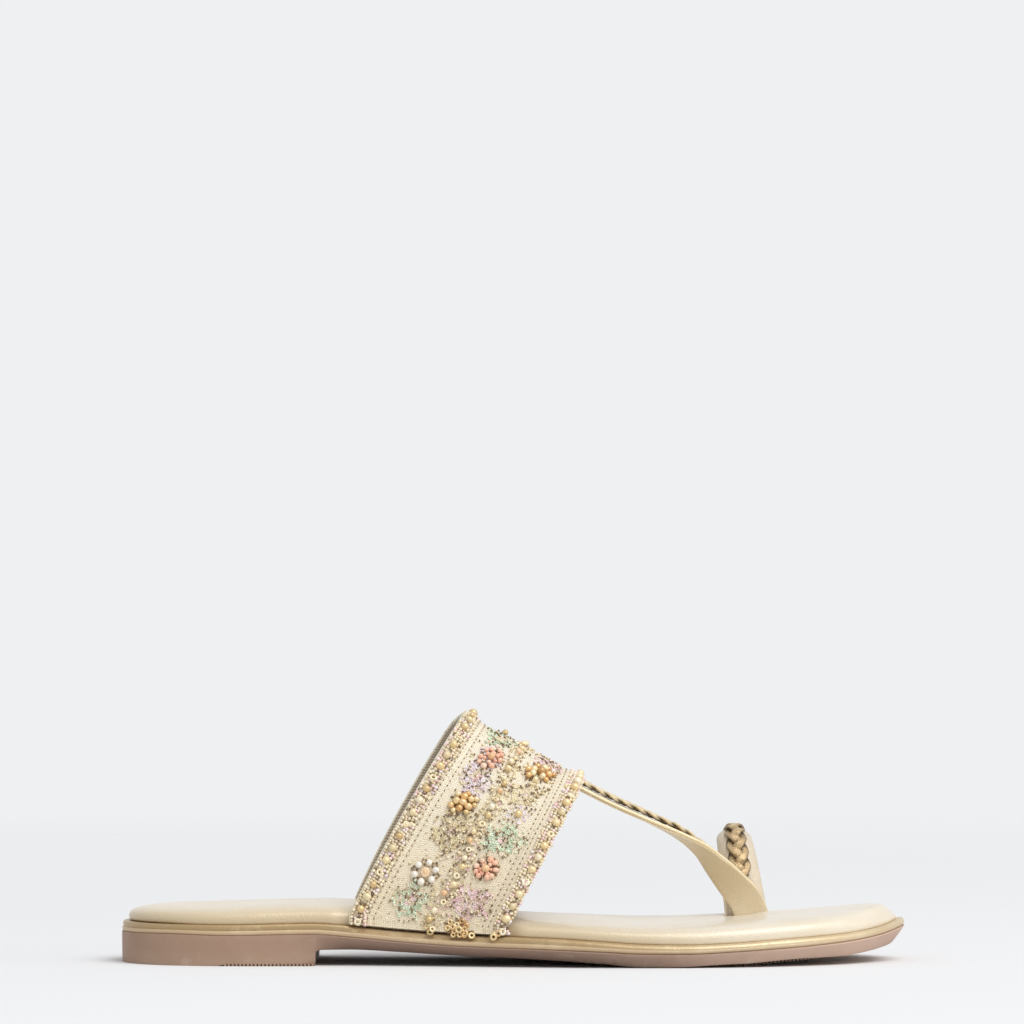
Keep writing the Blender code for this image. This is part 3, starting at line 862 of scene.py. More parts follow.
def weave_effect() -> bpy.types.NodeTree:
    """Plain weave, one thread to a unit of the map: height, space between threads, each thread's tone.

    Returns:
        The group.
    """
    bench, given, out = effect("weave", ("Vector", "Slub"), ("Height", "Space", "Tone"))
    place = given["Vector"]
    drift = bench.noise(place, 0.35, 3.0, output="Color")
    drift = bench.maths("SUBTRACT", drift, (0.5, 0.5, 0.5), kind="VectorMath")
    drift = bench.node("VectorMath", {0: drift, "Scale": given["Slub"]}, operation="SCALE").outputs[0]
    split = bench.axes(bench.maths("ADD", place, drift, kind="VectorMath"))
    cells = [bench.maths("FLOOR", split[axis]) for axis in ("X", "Y")]
    centred = [bench.maths("SUBTRACT", bench.maths("FRACT", split[axis]), 0.5) for axis in ("X", "Y")]
    waves = [bench.maths("COSINE", bench.times(value, math.pi)) for value in centred]
    low_high = [bench.maths("MULTIPLY_ADD", wave, 0.45, 0.55) for wave in waves]
    warp, weft = bench.times(waves[0], low_high[1]), bench.times(waves[1], low_high[0])
    parity = bench.maths("MODULO", bench.maths("ABSOLUTE", bench.maths("ADD", *cells)), 2.0)
    over = bench.node("Mix", {"Factor": parity, "A": warp, "B": weft}, data_type="FLOAT").outputs["Result"]
    nearest = bench.spread(bench.maths("MAXIMUM", *waves), 0.25, 0.75)
    threads = bench.node("CombineXYZ", {"X": bench.times(cells[0], parity), "Y": cells[1]}).outputs[0]
    tone = bench.node("TexWhiteNoise", {"Vector": threads}, noise_dimensions="3D").outputs["Value"]
    bench.feed(out["Height"], bench.maths("MULTIPLY_ADD", bench.noise(place, 2.6, 2.0), 0.5, over))
    bench.feed(out["Space"], bench.maths("SUBTRACT", 1.0, nearest))
    bench.feed(out["Tone"], tone)
    return bench.tree


def wear_effect() -> bpy.types.NodeTree:
    """Handling marks: scattered soft rubs and short scratches.

    Returns:
        The group.
    """
    bench, given, out = effect("wear", ("Vector", "Amount"), ("Rub", "Scratch"))
    cloud = bench.noise(given["Vector"], 130.0, 5.0, 0.7)
    drawn = bench.node("Mapping", {"Vector": given["Vector"], "Scale": (0.12, 1.0, 2.2)}).outputs[0]
    lines = bench.noise(drawn, 1500.0, 2.0)
    bench.feed(out["Rub"], bench.times(bench.spread(cloud, 0.52, 0.72), given["Amount"]))
    bench.feed(out["Scratch"], bench.times(bench.spread(lines, 0.66, 0.74), given["Amount"]))
    return bench.tree


EFFECT_MAKERS = {"grain": grain_effect, "weave": weave_effect, "wear": wear_effect}


@dataclass(frozen=True)
class Finish:
    """A surface: its name, its main, darker and lighter colours, and its gloss and slot all over."""

    name: str
    colour: Colour
    shade: Colour = (120, 90, 50)
    light: Colour = (255, 245, 225)
    roughness: float = 0.5
    metallic: float = 0.0
    coat: float = 0.0
    sheen: float = 0.0
    slot: str = "upper_canvas"

    def material(self) -> bpy.types.Material:
        """The material, made once.

        Returns:
            The material.
        """
        found = bpy.data.materials.get(self.name)
        if found:
            return found
        made = bpy.data.materials.new(self.name)
        made.use_nodes = True
        bench = Bench(made.node_tree)
        bench.paint(self.colour)
        bench.paint(self.roughness, "Roughness")
        bench.paint(self.metallic, "Metallic")
        bench.paint(self.coat, "Coat Weight")
        bench.paint(0.12, "Coat Roughness")
        bench.paint(self.sheen, "Sheen Weight")
        bench.paint(0.4, "Sheen Roughness")
        self.dress(bench)
        return made

    def dress(self, bench: Bench) -> None:
        """Adds the finish's own nodes; the plain finish has none."""


@dataclass(frozen=True)
class LeatherFinish(Finish):
    """Foiled or plain leather with grain, mottle, light handling marks and a painted highlight towards the
    toe.
    """

    pebble: float = 1500.0
    depth: float = 0.00004
    rubbed: float = 0.4
    # toe: a lighter colour towards the toe, a painted highlight, taking over across the span below
    toe: Optional[Colour] = None
    toe_light_span: tuple[float, float] = (0.02, 0.085)  # where along the sandal it turns to the toe's colour

    def dress(self, bench: Bench) -> None:
        """Paints the toe's highlight, mottles the colour, breaks up the gloss and adds the grain.

        Args:
            bench: The material's bench.
        """
        place = bench.place()
        grain = bench.use("grain", Vector=place, Pebble=self.pebble)
        wear = bench.use("wear", Vector=place, Amount=self.rubbed)
        base = self.colour
        # painted highlight: lighter towards the toe
        if self.toe:
            base = bench.blend(bench.spread(bench.axes(place)["X"], *self.toe_light_span), base, self.toe)
        base = bench.blend(bench.times(grain["Mottle"], 0.45), base, self.shade)
        base = bench.blend(bench.times(wear["Rub"], 0.6), base, self.light)
        bench.paint(bench.blend(bench.times(wear["Scratch"], 0.4), base, self.shade))
        gloss = bench.maths("MULTIPLY_ADD", grain["Mottle"], 0.10, self.roughness - 0.05)
        bench.paint(bench.maths("ADD", gloss, bench.times(wear["Rub"], 0.12)), "Roughness")
        bench.emboss(grain["Height"], self.depth)


@dataclass(frozen=True)
class RubberFinish(Finish):
    """Moulded rubber: fine tooth, faint flow marks, a painted highlight towards the toe, dusty near the
    ground.

    Its shade is the colour of the painted shade low on the waist's wall, and its light is the dust.
    """

    fore_colour: Colour = (158, 130, 112)
    # the toe's lighter colour is a painted highlight
    lit_toe_colour: Colour = (208, 178, 158)

    def dress(self, bench: Bench) -> None:
        """Grades the colour along the sole with a painted highlight at the toe, paints shade low on the
        waist's wall, and adds dust, scuffs and the moulded tooth.

        Args:
            bench: The material's bench.
        """
        place = bench.place()
        axes = bench.axes(place)
        wear = bench.use("wear", Vector=place, Amount=1.0)
        cloud = bench.noise(place, 70.0, 5.0, 0.65)
        base = bench.blend(bench.spread(axes["X"], -0.08, -0.03), self.colour, self.fore_colour)
        # painted highlight: lighter towards the toe
        base = bench.blend(bench.spread(axes["X"], 0.05, 0.105), base, self.lit_toe_colour)
        # painted shade: darker low on the waist's wall
        base = bench.blend(bench.marked("low_wall"), base, self.shade)
        base = bench.dimmed(bench.spread(cloud, 0.35, 0.7, 0.0, 0.7), base, 0.86, 1.05)
        low = bench.spread(axes["Z"], 0.0, 0.005, 0.55, 0.0)
        base = bench.blend(bench.times(low, bench.maths("ADD", wear["Rub"], 0.25)), base, self.light)
        bench.paint(bench.blend(bench.times(wear["Scratch"], 0.25), base, self.light))
        bench.paint(bench.spread(cloud, 0.3, 0.7, 0.52, 0.68), "Roughness")
        flow = bench.node("Mapping", {"Vector": place, "Scale": (1.0, 1.0, 0.15)}).outputs[0]
        tooth = bench.noise(place, 2600.0, 3.0)
        bench.emboss(bench.maths("MULTIPLY_ADD", bench.noise(flow, 260.0, 3.0), 0.8, tooth), 0.00007)


@dataclass(frozen=True)
class CanvasFinish(Finish):
    """Raw woven cloth: threads of slightly different tone, painted shade between them and towards the lower
    edge, with slubs and flecks.
    """

    fleck: Colour = (142, 108, 72)
    # the colour of the painted shade towards the cloth's lower edge
    low_shade: Colour = (244, 224, 184)
    thread: float = 0.68  # millimetres
    flecks: float = 0.5

    def dress(self, bench: Bench) -> None:
        """Weaves the colour and the relief on the piece's own chart of the cloth.

        Args:
            bench: The material's bench.
        """
        chart = bench.node("UVMap", uv_map="cloth").outputs["UV"]
        scale = {0: chart, "Scale": 1.0 / self.thread}
        scaled = bench.node("VectorMath", scale, operation="SCALE").outputs[0]
        weave = bench.use("weave", Vector=scaled, Slub=0.7)
        wear = bench.use("wear", Vector=bench.place(), Amount=0.6)
        tone = bench.blend(weave["Tone"], self.colour, self.light)
        # painted shade in the spaces between threads
        tone = bench.blend(bench.times(weave["Space"], 0.26), tone, self.shade)
        # painted shade: darker and warmer towards the cloth's lower edge
        height = bench.axes(bench.place())["Z"]
        tone = bench.blend(bench.spread(height, 0.02, 0.062, 0.55, 0.0), tone, self.low_shade)
        for size, start in ((0.55, 0.585), (1.25, 0.59)):
            speck = bench.spread(bench.noise(scaled, size, 3.0, 0.7), start, start + 0.05, 0.0, self.flecks)
            tone = bench.blend(speck, tone, self.fleck)
        bench.paint(bench.blend(bench.times(wear["Rub"], 0.3), tone, self.light))
        bench.paint(bench.spread(weave["Tone"], 0.0, 1.0, 0.72, 0.9), "Roughness")
        bench.emboss(weave["Height"], 0.00016)


@dataclass(frozen=True)
class TapeFinish(Finish):
    """Twilled tape: slanting paler ribs over a dull ground."""

    pitch: float = 0.95  # millimetres from rib to rib

    def dress(self, bench: Bench) -> None:
        """Draws the ribs on the piece's own chart of the cloth.

        Args:
            bench: The material's bench.
        """
        chart = bench.node("UVMap", uv_map="cloth").outputs["UV"]
        axes = bench.axes(chart)
        slant = bench.maths("ADD", axes["Y"], bench.times(axes["X"], 0.55))
        slant = bench.maths("MULTIPLY_ADD", bench.noise(chart, 0.8, 3.0), 0.35, slant)
        rib = bench.spread(bench.maths("SINE", bench.times(slant, 2 * math.pi / self.pitch)), -1.0, 1.0)
        base = bench.blend(rib, self.colour, self.light)
        bench.paint(bench.dimmed(bench.spread(bench.noise(chart, 2.2, 4.0), 0.4, 0.7), base, 0.8))
        bench.emboss(rib, 0.00018)


@dataclass(frozen=True)
class BeadFinish(Finish):
    """Glass, pearl or metal beads: each one a little lighter or darker than the next."""

    def dress(self, bench: Bench) -> None:
        """Reads each bead's own tint, and clouds the surface a little.

        Args:
            bench: The material's bench.
        """
        tint = bench.marked("tint")
        cloud = bench.noise(bench.place(), 900.0, 3.0)
        base = bench.blend(bench.spread(tint, 0.0, 0.5, 0.55, 0.0), self.colour, self.shade)
        base = bench.blend(bench.spread(tint, 0.6, 1.0, 0.0, 0.55), base, self.light)
        bench.paint(bench.dimmed(bench.spread(cloud, 0.45, 0.7), base, 0.82))
        gloss = bench.spread(cloud, 0.3, 0.7, self.roughness - 0.06, self.roughness + 0.1)
        bench.paint(gloss, "Roughness")


@dataclass(frozen=True)
class BedFinish(LeatherFinish):
    """Footbed cover: as leather, with painted shade, darker and more golden, down its side towards the rim.
    """

    # the colour of the painted shade down the pad's side
    side: Colour = (206, 186, 150)

    def dress(self, bench: Bench) -> None:
        """Paints shade down the side over the leather's own nodes.

        Args:
            bench: The material's bench.
        """
        super().dress(bench)
        # painted shade down the side towards the rim
        base = bench.shader("Base Color").links[0].from_socket
        bench.paint(bench.blend(bench.times(bench.marked("edge"), 0.85), base, self.side))


@dataclass(frozen=True)
class PlaitFinish(LeatherFinish):
    """Plaited lace: as leather, crinkled, with painted shade in the crinkles, at the laces' edges and where
    one strand dips under another.
    """

    # the colour of the painted shade
    hollow_shade: Colour = (62, 44, 20)
    crinkle_shade: float = 0.5

    def dress(self, bench: Bench) -> None:
        """Paints shade in the crinkles, where the strands go under one another and at their edges, over the
        leather's own nodes, and adds the crinkles' relief.

        Args:
            bench: The material's bench.
        """
        super().dress(bench)
        base = bench.shader("Base Color").links[0].from_socket
        folds = bench.noise(bench.place(), 520.0, 4.0, 0.7)
        # painted shade in the crinkles
        base = bench.blend(bench.spread(folds, 0.5, 0.66, 0.0, self.crinkle_shade), base, self.hollow_shade)
        bench.emboss(folds, 0.0006)
        # painted shade where the strands go under another and at the laces' edges
        bench.paint(bench.blend(bench.marked("dip_shade"), base, self.hollow_shade))


@dataclass(frozen=True)
class ThreadFinish(Finish):
    """Sewing thread: a fine twist along each stitch."""

    def dress(self, bench: Bench) -> None:
        """Adds the twist and a little unevenness.

        Args:
            bench: The material's bench.
        """
        cloud = bench.noise(bench.place(), 1500.0, 3.0)
        bench.paint(bench.dimmed(bench.spread(cloud, 0.4, 0.7), self.colour, 0.75))
        bench.emboss(cloud, 0.00008)


# The rubber's shade is the colour of the painted shade low on the waist's wall.
RUBBER = RubberFinish(
    "sole rubber", (166, 136, 114), (84, 58, 48), (200, 180, 160), 0.6, slot="outsole_rubber",
)
# The rim's wrap and welt have lighter toe colours as painted highlights.
RIM_FOIL = LeatherFinish(
    "rim foil", (176, 150, 110), (174, 146, 102), (246, 230, 196), 0.34, 0.35,
    slot="rim_foil", depth=0.00003, toe=(220, 200, 164),
)
WELT_FOIL = LeatherFinish(
    "welt foil", (198, 172, 138), (198, 170, 130), (250, 236, 206), 0.4, 0.2,
    slot="rim_foil", depth=0.00003, toe=(206, 186, 154),
)
# The cover's toe colour is a painted reflection, and its side colour, the default, is painted shade.
BED_COVER = BedFinish(
    "footbed cover", (233, 219, 195), (222, 204, 170), (242, 234, 214), 0.4, 0.1, 0.35,
    slot="footbed_cover", pebble=1150.0, rubbed=0.35, toe=(238, 228, 210), toe_light_span=(-0.01, 0.04),
)
STRAP_LEATHER = LeatherFinish(
    "strap leather", (238, 220, 182), (220, 198, 154), (252, 244, 220), 0.34, 0.25, 0.2,
    pebble=1250.0, rubbed=0.5,
)
STRAP_BACKING = LeatherFinish(
    "strap backing", (230, 214, 182), (212, 190, 150), (248, 234, 204), 0.42, 0.15,
)
RING_LEATHER = LeatherFinish(
    "ring leather", (218, 204, 180), (206, 190, 166), (246, 236, 216), 0.4, 0.1, 0.15,
    pebble=1250.0, depth=0.00005, rubbed=0.5,
)
STRAP_PLAIT_LEATHER = PlaitFinish(
    "strap plait leather", (242, 224, 186), (216, 190, 146), (255, 248, 222), 0.32, 0.1,
    slot="braid_leather", rubbed=0.9, crinkle_shade=0.3,
)
PLAIT_LEATHER = PlaitFinish(
    "plait leather", (214, 186, 140), (160, 130, 88), (255, 244, 212), 0.3, 0.3,
    slot="braid_leather", depth=0.00005, rubbed=0.9,
)
CANVAS = CanvasFinish("vamp canvas", (255, 243, 214), (140, 114, 82), (255, 246, 226), 0.85, sheen=0.12)
TAPE = TapeFinish("lining tape", (158, 142, 122), light=(206, 192, 170), roughness=0.8, sheen=0.1)
THREAD = ThreadFinish("sewing thread", (236, 222, 194), roughness=0.7)


class Beads(Enum):
    """The beads' and sequins' finishes."""

    GOLD = BeadFinish("gold beads", (242, 214, 158), (182, 142, 84), (255, 244, 208), 0.26, 0.35, 0.4)
    PALE_GOLD = BeadFinish(
        "pale gold beads", (250, 234, 194), (214, 184, 134), (255, 250, 228), 0.26, 0.15, 0.5
    )
    AMBER = BeadFinish("bronze beads", (232, 184, 118), (158, 106, 52), (255, 238, 196), 0.2, 0.5, 0.6)
    CORAL = BeadFinish("coral beads", (253, 198, 166), (232, 150, 114), (255, 230, 208), 0.28, coat=0.6)
    PEACH = BeadFinish("peach beads", (244, 200, 150), (222, 158, 106), roughness=0.26, coat=0.7)
    WHITE = BeadFinish("white beads", (252, 244, 232), (232, 220, 204), roughness=0.28, coat=0.5)
    LILAC = BeadFinish("lilac sequins", (248, 232, 234), (220, 194, 202), (255, 250, 250), 0.25, coat=0.6)
    PINK = BeadFinish("pink sequins", (252, 218, 214), (226, 176, 174), (255, 244, 240), 0.25, coat=0.6)
    MINT = BeadFinish("mint sequins", (230, 240, 208), (186, 208, 166), (250, 254, 238), 0.25, coat=0.6)
    OLIVE = BeadFinish(
        "olive sequins", (244, 228, 184), (200, 172, 118), roughness=0.34, metallic=0.1, coat=0.5
    )
    SEED = BeadFinish("seed beads", (246, 230, 198), (220, 194, 154), roughness=0.34, coat=0.4)
    # Dark seeds: scattered specks and needle holes, and painted shade in the flowers' gaps and round the
    # borders' large beads.
    DARK = BeadFinish("dark seeds", (132, 102, 68), (88, 62, 38), (178, 146, 102), 0.35, 0.2, 0.4)


def finish_piece(piece: Piece, finish: Finish, *replaced: str) -> Piece:
    """Dresses a piece and ties it to the frame.

    Args:
        piece: The piece.
        finish: Its surface.
        replaced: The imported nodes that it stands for.

    Returns:
        The piece.
    """
    piece.data.materials.append(finish.material())
    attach(piece, "root")
    if replaced:
        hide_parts(*replaced)
    log.info("%s: %d faces", piece.name, len(piece.data.polygons))
    return piece


# ------------------------ the sole


@dataclass
class SoleUnit:
    """The rubber unit sole: heel block, raised waist, forepart, and the fine tread under them."""

    line_step: float = 1.5
    heel_tread_height: float = 0.6
    tread_pitch: float = 1.2
    tread_land: float = 0.62
    tread_draft: float = 0.1  # how much wider each flank of a rib is at its root
    heel_tread: tuple[float, float] = (34.0, 61.9)
    front_tread: tuple[float, float] = (126.0, 222.0)
    breast_lines: tuple[float, ...] = (61.6, 61.9, 62.2, 62.3, 62.45, 62.6, 63.0, 63.7, 64.5)
    # Along, how far the wall's lower edge tucks in, and how sharply it turns there.
    tuck: tuple[tuple[float, float, float], ...] = (
        (0.0, 0.1, 1.3), (56.0, 0.15, 1.3), (64.0, 1.6, 1.2), (78.0, 3.0, 1.25), (110.0, 3.8, 1.3),
        (150.0, 3.8, 1.5), (168.0, 2.2, 1.8), (182.0, 1.0, 2.0), (200.0, 0.9, 1.6), (222.0, 2.3, 1.3),
        (242.0, 3.4, 1.2), (250.0, 4.0, 1.2),
    )

    def under(self, along: Array) -> Array:
        """The wall's lower edge: just clear of the ground where the heel and the forepart have tread.

        Args:
            along: Places along the sole.

        Returns:
            The height at each.
        """
        heel = smooth_step((along - 32.0) / 1.5) * smooth_step((62.3 - along) / 0.4)
        heel *= self.heel_tread_height
        fore = 0.15 + 1.0 * smooth_step((along - 172.0) / 26.0) * smooth_step((232.0 - along) / 20.0)
        return SOLE.bottom(along) + np.maximum(heel, fore * smooth_step((along - 112.0) / 10.0))

    def build(self) -> None:
        """Builds the unit, from its underside's spine round the wall to its top's spine, and its tread."""
        lines = SOLE.lines(self.line_step, 26, self.breast_lines)
        depth, turn = SmoothTable(self.tuck, 1), SmoothTable(self.tuck, 2)

        def level(share: float, lift: float = 0.0) -> Height:
            """The wall's height at a share of it."""
            return lambda x: self.under(x) * (1 - share) + SOLE.top(x) * share + lift

        def inset(share: float, extra: float = 0.0) -> Height:
            """How far in the wall is at a share of its height."""
            return lambda x: depth(x) * (1 - share) ** turn(x) + extra

        low_edge = SOLE.ring(lines, inset(0.0, 0.3), self.under)
        top_edge = SOLE.ring(lines, 0.45, SOLE.top)
        rings = [SOLE.inward(low_edge, share, self.under) for share in (1.0, 0.75, 0.4, 0.1)]
        rings += [low_edge, SOLE.ring(lines, inset(0.0, 0.08), level(0.0, 0.08))]
        wall = (0.07, 0.16, 0.28, 0.42, 0.58, 0.75)
        rings += [SOLE.ring(lines, inset(share), level(share)) for share in wall]
        rings += [SOLE.ring(lines, back, level(1.0, lift)) for back, lift in ((0.0, -0.4), (0.1, -0.12))]
        rings += [top_edge, *(SOLE.inward(top_edge, share, SOLE.top) for share in (0.1, 0.5, 1.0))]
        unit_piece = skin("sole_unit", rings, 50.0)
        self.mark_low_wall(unit_piece)
        finish_piece(unit_piece, RUBBER, "outsole")
        finish_piece(build_mesh("sole_tread", self.tread(), 20.0), RUBBER)

    def mark_low_wall(self, piece: Piece) -> None:
        """Marks how near each point is to the wall's lower edge, for painted shade, full at the waist.

        Args:
            piece: The sole unit.
        """
        along, _, up = points_of(piece).T
        low, high = self.under(along), SOLE.top(along)
        fall = np.clip(1 - (up - low) / (high - low), 0.0, 1.0)
        waist = smooth_step((along - 60.0) / 14.0) * (1 - 0.8 * smooth_step((along - 150.0) / 40.0))
        # painted shade, full at the waist and a fifth as strong at the ball
        mark(piece, "low_wall", 0.85 * waist * fall**1.3)

    def rib(self, middle: float, inset: float, depth_in: float) -> Mesh:
        """One rib across the sole.

        Args:
            middle: Its place along the sole.
            inset: How far its ends stop short of the wall.
            depth_in: How far it reaches up into the unit.

        Returns:
            Its points and faces.
        """
        half = self.tread_land / 2
        root = half + self.tread_draft
        rows = []
        for side in (Side.INNER, Side.OUTER):
            for shift, lift in ((-root, 1.0), (-half, 0.0), (half, 0.0), (root, 1.0)):
                place = middle + shift
                flat = SOLE.edge(np.array([place]), side, inset + self.tread_draft * (1 - lift))[0]
                rows.append((place, flat[1], float(SOLE.bottom(place)) + 0.02 + lift * depth_in))
        return loft(np.array(rows).reshape(2, 4, 3))

    def tread(self) -> Mesh:
        """All the ribs.

        Returns:
            Their points and faces.
        """
        spans = ((self.heel_tread, 0.12, self.heel_tread_height + 0.1), (self.front_tread, 11.0, 1.3))
        return joined([
            self.rib(float(middle), inset, depth_in)
            for span, inset, depth_in in spans
            for middle in np.arange(*span, self.tread_pitch)
        ])


@dataclass
class WrappedRim:
    """The board between sole and footbed: a foiled wrap over a paler welt, with no space between them."""

    line_step: float = 1.6
    vamp_span: tuple[float, float] = (73.0, 120.0)
    vamp_recess: float = 1.2
    vamp_press: float = 0.06
    # Share of the rim's height, set in from the outline at the heel and at the forepart.
    wrap: tuple[tuple[float, float, float], ...] = (
        (1.0, 3.8, 3.8), (1.0, 1.3, 2.3), (0.985, 0.85, 1.75), (0.93, 0.52, 1.1), (0.84, 0.36, 0.62),
        (0.72, 0.30, 0.32), (0.58, 0.36, 0.16), (0.46, 0.48, 0.13), (0.34, 0.70, 0.25), (0.34, 2.5, 2.5),
    )
    welt: tuple[tuple[float, float, float], ...] = (
        (0.47, 2.2, 2.2), (0.46, 0.62, 0.42), (0.43, 0.34, 0.18), (0.38, 0.16, 0.10), (0.30, 0.05, 0.09),
        (0.18, 0.05, 0.16), (0.08, 0.16, 0.40), (0.0, 0.46, 0.80), (-0.02, 1.6, 1.8),
    )

    def under_vamp(self, x: Array) -> Array:
        """1 where the vamp goes down beside the rim, 0 away from it."""
        start, end = self.vamp_span
        return smooth_step((x - start + 1.0) / 4.0) * smooth_step((end + 1.0 - x) / 4.0)

    def level(self, share: float) -> Height:
        """A height in the rim, pressed down under the vamp.

        Args:
            share: Its share from the sole's top to the rim's top.

        Returns:
            The height, by the place along.
        """
        press = self.vamp_press * smooth_step((share - 0.45) / 0.55)

        def at(x: Array) -> Array:
            """The height at these places along."""
            pressed = share - press * self.under_vamp(x)
            return SOLE.top(x) * (1 - pressed) + SOLE.rim(x) * pressed

        return at

    def layer(self, name: str, profile: Sequence[tuple[float, float, float]], recess: float) -> Piece:
        """One rounded layer of the rim.

        Args:
            name: The layer's name.
            profile: Its section, from the inside over the edge to the inside again.
            recess: How much further in it stands under the vamp.

        Returns:
            The layer.
        """
        lines = SOLE.lines(self.line_step, 26)

        def inset(height: float, heel: float, fore: float) -> Height:
            """How far in the layer is, by the place along.

            Args:
                height: Share of the layer's height.
                heel: How far in it is at the heel.
                fore: How far in it is at the forepart.

            Returns:
                The distance in, by the place along.
            """
            back = recess * smooth_step((height - 0.35) / 0.35)
            return lambda x: (
                heel + (fore - heel) * smooth_step((x - 105.0) / 60.0) + back * self.under_vamp(x)
            )

        rings = [SOLE.ring(lines, inset(*row), self.level(row[0])) for row in profile]
        first, last = self.level(profile[0][0]), self.level(profile[-1][0])
        start = [SOLE.inward(rings[0], share, first) for share in (1.0, 0.5, 0.08)]
        end = [SOLE.inward(rings[-1], share, last) for share in (0.08, 0.5, 1.0)]
        return skin(name, [*start, *rings, *end], 50.0)

    def build(self) -> None:
        """Builds the wrap and the welt."""
        finish_piece(self.layer("rim_wrap", self.wrap, self.vamp_recess), RIM_FOIL, "rim")
        finish_piece(self.layer("rim_welt", self.welt, 0.0), WELT_FOIL, "rim")


@dataclass
class PaddedFootbed:
    """The foam insole under its pale gold cover, tucked in beside the vamp and round the toe post."""

    line_step: float = 1.4
    edge_in: float = 2.2
    tuck: float = 1.35
    tuck_span: tuple[float, float] = (71.5, 124.0)
    fill: float = 0.75
    smooth: float = 60.0
    # Set in from the pad's edge at the heel's back and elsewhere, share of its thickness.
    side: tuple[tuple[float, float, float], ...] = (
        (0.6, 0.22, 0.0), (0.28, 0.08, 0.03), (0.1, 0.01, 0.08), (0.0, 0.0, 0.16), (-0.05, 0.0, 0.26),
        (0.02, 0.08, 0.37), (0.3, 0.34, 0.49), (0.8, 0.8, 0.59),
    )
    # Distance in from the pad's edge, share of its thickness; and the same at the thin toe.
    dome: tuple[tuple[float, float], ...] = (
        (0.8, 0.59), (1.5, 0.68), (2.4, 0.76), (3.6, 0.83), (5.0, 0.88), (9.5, 0.955), (16.0, 0.985),
        (23.0, 1.0),
    )
    toe_dome: tuple[tuple[float, float], ...] = (
        (0.8, 0.34), (1.5, 0.50), (2.4, 0.68), (3.6, 0.86), (5.0, 0.97), (9.5, 1.01), (16.0, 1.0),
        (23.0, 1.0),
    )
    # Soft hollows and swells on the top: along, across, reach along, reach across, height.
    swells: tuple[tuple[float, float, float, float, float], ...] = (
        (30.0, 0.0, 18.0, 13.0, -0.35), (172.0, -12.0, 16.0, 12.0, -0.25), (176.0, 22.0, 14.0, 10.0, -0.2),
        (128.0, 0.0, 3.2, 30.0, 0.16), (66.0, 0.0, 3.0, 24.0, 0.14), (146.0, -24.0, 2.0, 14.0, -0.14),
        (152.0, -22.0, 2.2, 13.0, 0.12), (158.0, -24.0, 1.9, 12.0, -0.1), (216.0, 20.0, 10.0, 12.0, -0.2),
        (205.5, 5.0, 4.2, 4.6, 0.8),
    )
    # The slits: along, across, thickness.
    slits: tuple[tuple[float, float, float], ...] = ((201.2, 12.6, 4.6), (201.2, 36.2, 3.4))
    slit_depth: float = 9.0

    def edge_inset(self, x: Array) -> Array:
        """The pad's edge from the outline: further in where the vamp goes down beside it.

        Args:
            x: Places along the sole.

        Returns:
            The distance at each.
        """
        start, end = self.tuck_span
        inside = smooth_step((x - start + 4.0) / 5.0) * smooth_step((end + 4.0 - x) / 5.0)
        return self.edge_in + self.tuck * inside + 0.5 * smooth_step((x - 238.0) / 8.0)

    def low(self, x: Array) -> Array:
        """The pad's underside: pressed on the rim, and a little off it at the heel's back."""
        return SOLE.rim(x) + 0.02 + 0.2 * smooth_step((26.0 - x) / 14.0)

    def thickness(self, x: Array) -> Array:
        """How thick the pad is, before its hollows and swells."""
        return SOLE.bed(x) - self.low(x)

    def toe_share(self, x: Array) -> Array:
        """How far the pad has changed to its thin toe."""
        return smooth_step((x - 230.0) / 12.0)

    def top(self, flat: Array) -> Array:
        """Height of the pad's top.

        Args:
            flat: Places, along and across.

        Returns:
            The height at each.
        """
        x, y = flat[:, 0], flat[:, 1]
        deep = SOLE.depth_in(flat) - self.edge_inset(x)
        dome, toe_dome = (SmoothTable(rows)(deep) for rows in (self.dome, self.toe_dome))
        toe = self.toe_share(x)
        up = self.low(x) + self.thickness(x) * (dome * (1 - toe) + toe_dome * toe)
        calm = smooth_step(deep / 6.0)
        for along, across, reach_x, reach_y, height in self.swells:
            up += calm * height * bump(x, along, reach_x) * bump(y, across, reach_y)
        for along, across, thickness in self.slits:
            off_x = np.maximum(np.abs(x - along) - RingForm.FOOT_WIDTH / 2, 0.0)
            off_y = np.maximum(np.abs(y - across) - thickness / 2, 0.0)
            up -= 0.7 * np.exp(-(np.hypot(off_x, off_y) / 1.8))
        return up

    def build(self) -> None:
        """Builds the pad and cuts its slits."""
        lines = SOLE.lines(self.line_step, 34)

        def inset(back: float, rest: float) -> Height:
            """A distance in from the outline, for one in from the pad's edge at the back and elsewhere."""
            return lambda x: self.edge_inset(x) + rest + (back - rest) * smooth_step((30.0 - x) / 20.0)

        def level(share: float) -> Height:
            """A height in the pad, by its share of the thickness."""
            thin = 0.42 if share < 1 else 0.0
            return lambda x: self.low(x) + self.thickness(x) * share * (1 - thin * self.toe_share(x))

        sides = [SOLE.ring(lines, inset(back, rest), level(share)) for back, rest, share in self.side]
        under = [SOLE.inward(sides[0], share, level(0.0)) for share in (1.0, 0.5, 0.08)]
        tops = [SOLE.ring(lines, inset(extra, extra), level(1.0)) for extra in (1.4, 2.2, 3.2, 4.4, 5.8)]
        shares = (0.07, 0.15, 0.24, 0.34, 0.44, 0.54, 0.64, 0.74, 0.84, 0.92, 1.0)
        tops += [SOLE.inward(tops[-1], share, level(1.0)) for share in shares]
        for ring in tops:
            ring[:, 2] = self.top(ring[:, :2])
        pad = skin("footbed_pad", [*under, *sides, *tops], self.smooth)
        self.cut_slits(pad)
        self.mark_side_shade(pad)
        finish_piece(pad, BED_COVER, "footbed")

